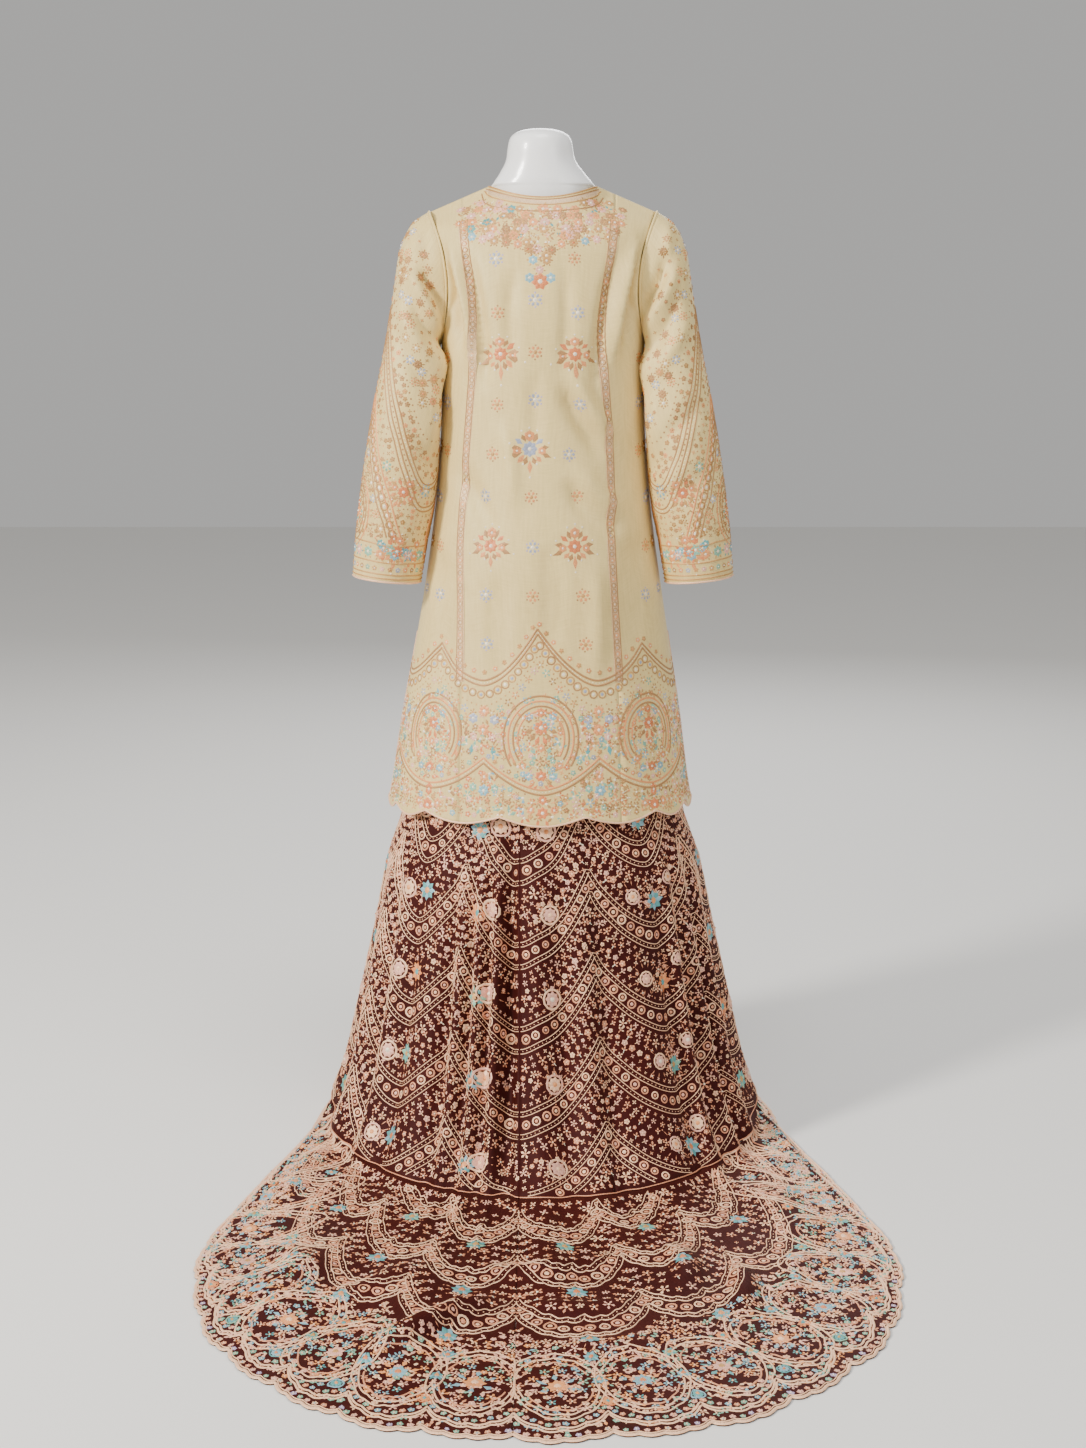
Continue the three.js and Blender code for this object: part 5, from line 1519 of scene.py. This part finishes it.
betweenBouquet = bunch(
    flowerPair(0.0088, 6, 2, 0.0165, 0.012), flower(0.01, 7, 0, 0, 0.024),
    flower(0.01, 7, 0, 0, -0.004, high=0.0018), flowerPair(0.007, 6, 5, -0.0145, -0.014),
    *(petal(x, -0.022, d, 0.021, 0.0098, 4) for x, d in ((-0.015, -100), (0.015, -80))),
    petal(0, -0.018, -90, 0.014, 0.006, 0),
)
hemBouquet = bunch(
    flower(0.01, 7, 4, high=0.0018), flower(0.0074, 6, 0, 0, 0.018), flowerPair(0.007, 6, 2, 0.017, 0.004),
    petal(-0.004, -0.009, -115, 0.012, 0.0066, 0), petal(0.004, -0.009, -65, 0.012, 0.0066, 0),
)
kurtaWork = {
    "smallButis": [
        (-0.067, 1.32), (0.045, 1.32), (-0.011, 1.262), (-0.065, 1.244), (0.05, 1.244), (-0.011, 1.189),
        (-0.011, 1.121), (-0.066, 1.114), (0.053, 1.114), (-0.073, 1.043), (0.038, 1.043), (0.049, 0.982),
        (-0.084, 0.982), (-0.017, 0.982), (-0.015, 0.91), (-0.015, 0.84), (-0.083, 0.84), (0.058, 0.84),
        (-0.082, 0.769), (0.062, 0.769),
    ],
    "largeButis": [(-0.061, 1.185), (0.046, 1.185), (-0.019, 1.05), (-0.076, 0.91), (0.046, 0.91)],
    "sideButis": [(0.152, 0.835), (0.152, 0.905), (0.152, 0.975),
                  (0.14, 1.045), (0.14, 1.115), (0.14, 1.18)],
    "bib": {
        "back": [(-0.124, 1.374), (-0.106, 1.352), (-0.08, 1.346), (-0.05, 1.342), (-0.026, 1.338),
                 (-0.014, 1.318), (-0.004, 1.304), (0.006, 1.318), (0.018, 1.338), (0.042, 1.342),
                 (0.072, 1.346), (0.098, 1.352), (0.116, 1.374)],
        "front": [(-0.118, 1.396), (-0.1, 1.345), (-0.075, 1.3), (-0.045, 1.275), (-0.02, 1.252),
                  (0.0, 1.236), (0.02, 1.252), (0.045, 1.275), (0.075, 1.3), (0.1, 1.345),
                  (0.118, 1.396)],
    },
    "period": 0.6,  # of the border's arches, as a share of the half width
    "ogee": (0.716, 0.793, 0.765), "scallop": (0.552, 0.596), "archAt": 0.634,
    # an arch's cords, each with its half width, its height, its thickness and its colour
    "arch": [(0.055, 0.066, 0.0038, "tan"), (0.048, 0.058, 0.0034, "peach"), (0.041, 0.05, 0.0034, "tan"),
             (0.034, 0.042, 0.0034, "peach")],
}
butiPair = ("silver pearl lilac", "peach straw tan")
pastels = choices("pink pearl, straw pearl, mint pearl, tan pearl, peach pearl, silver pearl, straw peach")
warm = choices("straw peach tan, tan straw gold, gold straw tan, peach straw tan, tan peach gold, "
               "tan tan gold")
largeFlower, sideFlower = flower(0.0125, 7, high=0.002), flower(0.0085, 6)
bibFlower, hollowFlower = flower(0.0082, 7), flower(0.0085, 7)


def border(work, place):
    # The ogee line, arches with bouquets, and the scalloped line, and then a close filling below the ogee
    chart, period = work.chart, kurtaWork["period"]
    q = np.linspace(-0.985, 0.985, 600)
    away = np.abs(np.mod(q / period, 1) * 2 - 1)  # 1 at the arches' middles and 0 between them
    low, high, lower = kurtaWork["ogee"]
    ogee = low + (np.where(np.abs(q) < period / 2, high, lower) - low) * away**1.7
    for offset, width in ((0.0, 0.0036), (-0.0075, 0.0034)):
        work.cord(*place(q, ogee + offset), width, 0.0013, "tan")
    for offset, motif, pitch, palettes in (
        (-0.0038, bead, 0.005, shades("pearl")),
        (0.0115, smallBlossom, 0.0165, choices("straw peach, peach pearl")),
        (-0.021, medallion, 0.0135, choices("tan pearl, straw silver")),
        (-0.037, sequin, 0.008, shades("straw pearl")), (-0.05, blossom, 0.015, pastels),
    ):
        work.row(motif, *place(q, ogee + offset), pitch, palettes)
    arc = np.radians(np.linspace(-38, 218, 61))
    for at in (-period, 0, period):
        size = 1.0 if at == 0 else 0.92
        middle = place(at, kurtaWork["archAt"])
        for wide, tall, width, colour in kurtaWork["arch"]:
            line = chart.step(*middle, wide * size * np.cos(arc), tall * size * np.sin(arc))
            work.cord(*line, width, 0.0012, colour)
        line = chart.step(*middle, 0.0445 * size * np.cos(arc), 0.054 * size * np.sin(arc))
        work.row(bead, *line, 0.006, shades("silver"))
        work.stamp(archBouquet, *chart.step(*middle, 0.0, -0.004), shades("coral pearl sky tan mint peach"),
                   size=size, loose=0.0)
        leaves = chart.step(*middle, np.array([-0.047, 0.047]) * size, -0.036)
        work.stamp(leaf, *leaves, shades("peach"), size=1.2)
        work.stamp(hemBouquet, *place(at, 0.526), shades("coral pearl peach straw coral pink"), loose=0.02)
    for at in (-1.5 * period, -0.5 * period, 0.5 * period, 1.5 * period):
        for motif, z, palette in ((betweenBouquet, 0.648, "peach pearl silver straw teal pink"),
                                  (hemBouquet, 0.556, "peach pearl mint straw sky pink")):
            work.stamp(motif, *place(at, z), shades(palette), loose=0.02)
    low, high = kurtaWork["scallop"]
    scallop = low + (high - low) * (1 - away) ** 1.7
    work.cord(*place(q, scallop), 0.0036, 0.0013, "tan")
    work.cord(*place(q, scallop + 0.0075), 0.0032, 0.0013, "peach")
    work.row(bead, *place(q, scallop + 0.0038), 0.005, shades("pearl"))
    work.row(smallBlossom, *place(q, scallop + 0.0165), 0.0125, pastels)
    gridQ, gridZ = np.meshgrid(np.linspace(-0.97, 0.97, 54), np.arange(0.52, 0.7, 0.01))
    gridQ = gridQ.ravel() + work.random.uniform(-0.009, 0.009, gridQ.size)
    gridZ = gridZ.ravel() + work.random.uniform(-0.002, 0.002, gridZ.size)
    under = gridZ < np.interp(gridQ, q, ogee) - 0.058
    gridQ, gridZ = gridQ[under], gridZ[under]
    fillWith(work, *place(gridQ, gridZ), 0.0078, (smallBlossom, blossom, leafPair, twig),
             choices("peach pearl, tan pearl, coral pearl, mint pearl, straw peach, pink pearl, tan peach, "
                     "sky pearl, straw pearl"), 1.15)
    fillWith(work, *place(gridQ + 0.008, gridZ + 0.005), 0.0055, (sequin, crossStitch), warm)


def stitchBib(work, face):
    # Flowers along the bib's points, and then a close filling between them and the neckband
    bib = np.array(kurtaWork["bib"][face])
    line = work.chart.seek(*through(bib, np.linspace(0, len(bib) - 1, 160)).T)
    palettes = choices("peach pearl straw, straw coral tan, sky pearl straw, pink pearl straw, "
                       "straw pearl gold, tan coral gold")
    work.row(petalButi, *line, 0.017, palettes, size=0.85)
    if face == "back":
        u, v = work.chart.seek([-0.004, -0.019, 0.011], [1.288, 1.293, 1.293])
        work.stamp(largeFlower, u[:1], v[:1], shades("coral pearl"))
        work.stamp(sideFlower, u[1:], v[1:], shades("sky pearl"))
    x, z = np.meshgrid(np.arange(-0.12, 0.118, 0.0094), np.arange(1.23, 1.42, 0.0094))
    x, z = x.ravel() + work.random.uniform(-0.003, 0.003, x.size), z.ravel()
    inNeck = 1 - np.clip(np.abs(x) / neckPoint[0], 0, 1) ** 2
    ridge = np.where(inNeck > 0, neckPoint[1] - kurta["neckline"][face][1] * inNeck, ridgeHeight(np.abs(x)))
    inside = (z > np.interp(x, bib[:, 0], bib[:, 1]) + 0.004) & (z < ridge - 0.017) & (z < 1.405)
    palettes = choices("peach pearl straw, straw pearl tan, pink pearl tan, straw pearl gold, "
                       "teal peach straw, peach straw gold, tan peach straw, tan straw gold, pink peach tan")
    places = work.chart.seek(x[inside], z[inside])
    fillWith(work, *places, 0.0066, (petalButi, leafPair, twig, bibFlower), palettes)


def stitchBands(face, chart):
    # Over each princess seam a band of two cords with rings between them
    band = bunch(ring(0.0037, 0.0017, 0, 0.0014), disc(0, 0, 0.0016, 1, 0.0017, 5))
    for side, column in (("left", leftEnd), ("right", rightStart)):
        work = Stitching(chart, 41 if side == "left" else 42)
        v = np.interp(np.linspace(0.712, 1.374, 200), chart.grid[:, column, 2], np.arange(chart.rows + 1))
        line = (np.full(len(v), float(column)), v)
        work.cord(*line, 0.0136, 0.0004, "braid", sunk=0.0001)
        for offset in (-0.0056, 0.0056):
            work.cord(*work.aside(*line, offset), 0.0022, 0.0014, "tan")
        work.row(band, *line, 0.009, choices("tan pearl, peach pearl, tan silver"))
        work.row(bead, *line, 0.009, shades("pearl"), inset=0.0)
        work.piece(f"kurta_{face}_band_{side}", "braid")


def stitchNeckband(face, chart):
    # Four cords round the neckline, on a thin ground
    work = Stitching(chart, 43)
    inNeck = np.flatnonzero(np.abs(chart.grid[-1, :, 0]) <= neckPoint[0] + 0.0006)
    edge = (np.linspace(inNeck[0], inNeck[-1], 160), np.full(160, chart.rows - 1e-3))
    below = chart.on(*work.aside(*edge, -0.0078))[80, 2] < chart.on(*edge)[80, 2] - 0.003
    inward = -1 if below else 1
    for offset, width, colour in ((0.0012, 0.0028, "straw"), (0.0042, 0.0024, "tan"),
                                  (0.007, 0.0024, "straw"), (0.01, 0.0026, "tan")):
        work.cord(*work.aside(*edge, inward * offset), width, 0.0015, colour)
    work.cord(*work.aside(*edge, inward * 0.0056), 0.0112, 0.0003, "ivory", sunk=0.0001)
    work.piece(f"kurta_{face}_neckband", "braid")


def stitchBody(face):
    chart = kurtaCharts[face]
    work = Stitching(chart, 31 if face == "back" else 32)
    rows, columns = chart.rows, chart.columns
    heights = chart.grid[:, columns // 2, 2]
    atArch = chart.grid[int(np.interp(kurtaWork["archAt"], heights, np.arange(rows + 1)))]
    run = running(atArch)

    def place(q, z):
        # the place at a share of the half width and a height on the middle line
        q, z = np.broadcast_arrays(q, z)
        u = np.interp(q, 2 * run / run[-1] - 1, np.arange(columns + 1))
        return u, np.interp(z, heights, np.arange(rows + 1))

    def stampTwo(motif, spots, first, palettes, sizes, loose=0.06):
        # a motif with one palette and size at the spots where first holds, and with others at the rest
        u, v = chart.seek(spots[:, 0], spots[:, 1])
        for pick, palette, size in zip((first, ~first), palettes, sizes):
            work.stamp(motif, u[pick], v[pick], shades(palette), size=size, loose=loose)

    spots = np.array([p for p in kurtaWork["smallButis"] if face == "back" or p[1] < 1.2])
    stampTwo(smallButi, spots, np.arange(len(spots)) % 2 == 0, butiPair, (1.15, 1.15))
    sides = np.array([(s * x, z) for x, z in kurtaWork["sideButis"] for s in (-1, 1)])
    stampTwo(smallButi, sides, np.arange(len(sides)) // 2 % 2 == 0, butiPair, (1.1, 1.1))
    for k, z in enumerate(np.arange(0.84, 1.19, 0.07)):
        motif, palette = ((smallButi, butiPair[0]), (petalButi, "straw pearl gold"))[k % 2]
        work.stamp(motif, *place((-0.86, 0.86), z), shades(palette))
    large = np.array([p for p in kurtaWork["largeButis"] if face == "back" or p[1] < 1.15])
    aside = np.abs(large[:, 1] - 1.05) >= 0.01
    stampTwo(largeButi, large, aside, ("coral pearl tan peach", "silver pearl tan peach"), (0.94, 0.97),
             loose=0.02)
    stitchBib(work, face)
    border(work, place)
    # the cut edges: a cord on the hem and up each slit
    work.cord(np.linspace(0.05, columns - 0.05, 500), np.full(500, 0.22), 0.003, 0.0014, "cream")
    up = np.linspace(0.2, np.interp(0.77, heights, np.arange(rows + 1)), 90)
    for edge in (0.18, columns - 0.18):
        work.cord(np.full(90, edge), up, 0.0024, 0.0012, "cream")
    work.piece(f"kurta_{face}")
    stitchBands(face, chart)
    stitchNeckband(face, chart)


butiPalettes = choices("straw pearl tan, peach straw gold, silver pearl tan")
thinDouble = (None, 0.0064, 0.0027, 0.0012, "tan", bead, "pearl")
sleeveWork = {
    "valley": 0.71, "swags": 2, "drop": 0.105,
    # from the shoulder along the sleeve at a swag's valley, the motif, its pitch, palettes and size, or the
    # values of a double cord
    "rows": [
        (0.075, smallButi, 0.034, butiPalettes, 0.85), (0.115, smallButi, 0.032, butiPalettes, 0.85),
        (0.15, sequin, 0.009, shades("tan pearl"), 1.0), (0.17, smallBlossom, 0.019, warm, 1.0),
        (0.2, smallBlossom, 0.016, warm, 1.0), (0.218, *thinDouble),
        (0.235, sequin, 0.008, shades("tan pearl"), 1.0), (0.252, *thinDouble),
        (0.345, None, 0.008, 0.0028, 0.0013, "peach", sequin, "straw"),
        (0.362, medallion, 0.0135, choices("tan pearl, gold pearl"), 1.0), (0.378, *thinDouble),
        (0.398, smallButi, 0.021, butiPalettes, 0.85),
    ],
    # in a swag's hollow, how far down and to the side, the motif, its palette and its size
    "hollow": [
        (0.318, 0.004, largeButi, "coral pearl straw peach", 0.8),
        (0.29, -0.04, smallButi, "sky pearl silver", 1.3), (0.3, 0.04, smallButi, "mint pearl straw", 1.0),
        (0.46, 0.0, largeButi, "coral pearl straw peach", 0.85),
        (0.452, -0.02, hollowFlower, "sky pearl", 1.0), (0.452, 0.02, hollowFlower, "sky pearl", 1.0),
        (0.5, 0.01, hemBouquet, "coral pearl teal straw mint pink", 1.0),
        (0.5, -0.03, hemBouquet, "peach pearl sky straw peach pink", 1.0),
    ],
    # from the cuff's edge, a cord or a motif with its pitch and palettes
    "cuff": [
        (0.006, None), (0.0125, None), (0.021, smallBlossom, 0.0115, pastels), (0.031, None),
        (0.044, petalButi, 0.02,
         choices("peach pearl straw, mint pearl straw, pink pearl teal, sky pearl straw")),
        (0.058, None),
    ],
    # the lower arm is filled closely, and the upper arm thinly
    "fill": [(0.36, 0.6, 0.0105, 0.0078, (smallBlossom, leafPair, crossStitch, blossom), 0.92),
             (0.2, 0.6, 0.0095, 0.0062, (sequin, crossStitch, smallBlossom), 0.95),
             (0.03, 0.2, 0.016, 0.0098, (crossStitch, smallBlossom, petalButi), 0.8)],
}


def stitchSleeve(side):
    chart = sleeveCharts[side]
    work = Stitching(chart, 51 if side == "left" else 52)
    rows, columns = chart.rows, chart.columns
    u = np.linspace(0, columns, 320)
    length = chart.lengthAt(u)
    turns = (u / columns - sleeveWork["valley"]) * sleeveWork["swags"]
    shape = np.abs(2 * np.mod(turns + 0.5, 1) - 1) ** 1.6
    for at, motif, *values in sleeveWork["rows"]:
        down = at + 0.045 - shape * sleeveWork["drop"]
        for a, b in runs((down > 0.012) & (down < length - 0.07)):
            line = (u[a:b], rows * down[a:b] / length[a:b])
            if motif is None:
                gap, width, high, colour, beads, beadColour = values
                work.double(*line, gap, width, high, colour, beads, 0.006, beadColour)
            else:
                pitch, palettes, size = values
                work.row(motif, *line, pitch, palettes, size=size)
    for valley in (sleeveWork["valley"], sleeveWork["valley"] - 0.5):
        at = valley * columns
        long = chart.lengthAt(at)
        for down, dx, motif, palette, size in sleeveWork["hollow"]:
            spot = chart.step(at, rows * min(down, long - 0.05) / long, dx, 0.0)
            work.stamp(motif, *spot, shades(palette), size=size, loose=0.03)
        # three ovals at the outer and inner lines, between the hollows, with a buti in them
        at = (valley + 0.25) * columns
        long = chart.lengthAt(at % columns)
        middle = (at, rows * min(0.455, long - 0.075) / long)
        arc = np.linspace(0, 2 * np.pi, 49)
        for shrink, colour in ((1, "peach"), (0.82, "tan"), (0.64, "tan")):
            line = chart.step(*middle, 0.034 * shrink * np.cos(arc), 0.05 * shrink * np.sin(arc))
            work.cord(*line, 0.0024, 0.0012, colour)
        work.stamp(largeButi, *middle, shades("peach pearl mint coral"), size=0.62, loose=0.02)
    for fromEnd, motif, *values in sleeveWork["cuff"]:
        v = chart.rowAt(u, fromEnd)
        if motif is None:
            work.cord(u, v, 0.0026, 0.0013, "straw")
        else:
            work.row(motif, u, v, *values)
    work.cord(u, np.full(len(u), rows - 0.15), 0.003, 0.0015, "cream")
    for start, stop, step, room, motifs, size in sleeveWork["fill"]:
        uu, vv = [], []
        for down in np.arange(start, stop, step):
            around = np.arange(0, columns, columns * step / 0.4)
            long = chart.lengthAt(around)
            good = down < long - 0.066
            uu.append(around[good] + work.random.uniform(-0.4, 0.4, good.sum()))
            vv.append(rows * down / long[good])
        fillWith(work, np.concatenate(uu), np.concatenate(vv), room, motifs, warm, size)
    work.piece(f"kurta_sleeve_{side}")


for face in ("back", "front"):
    stitchBody(face)
for side in ("left", "right"):
    stitchSleeve(side)
print("kurta embroidered")


bpy.context.view_layer.update()
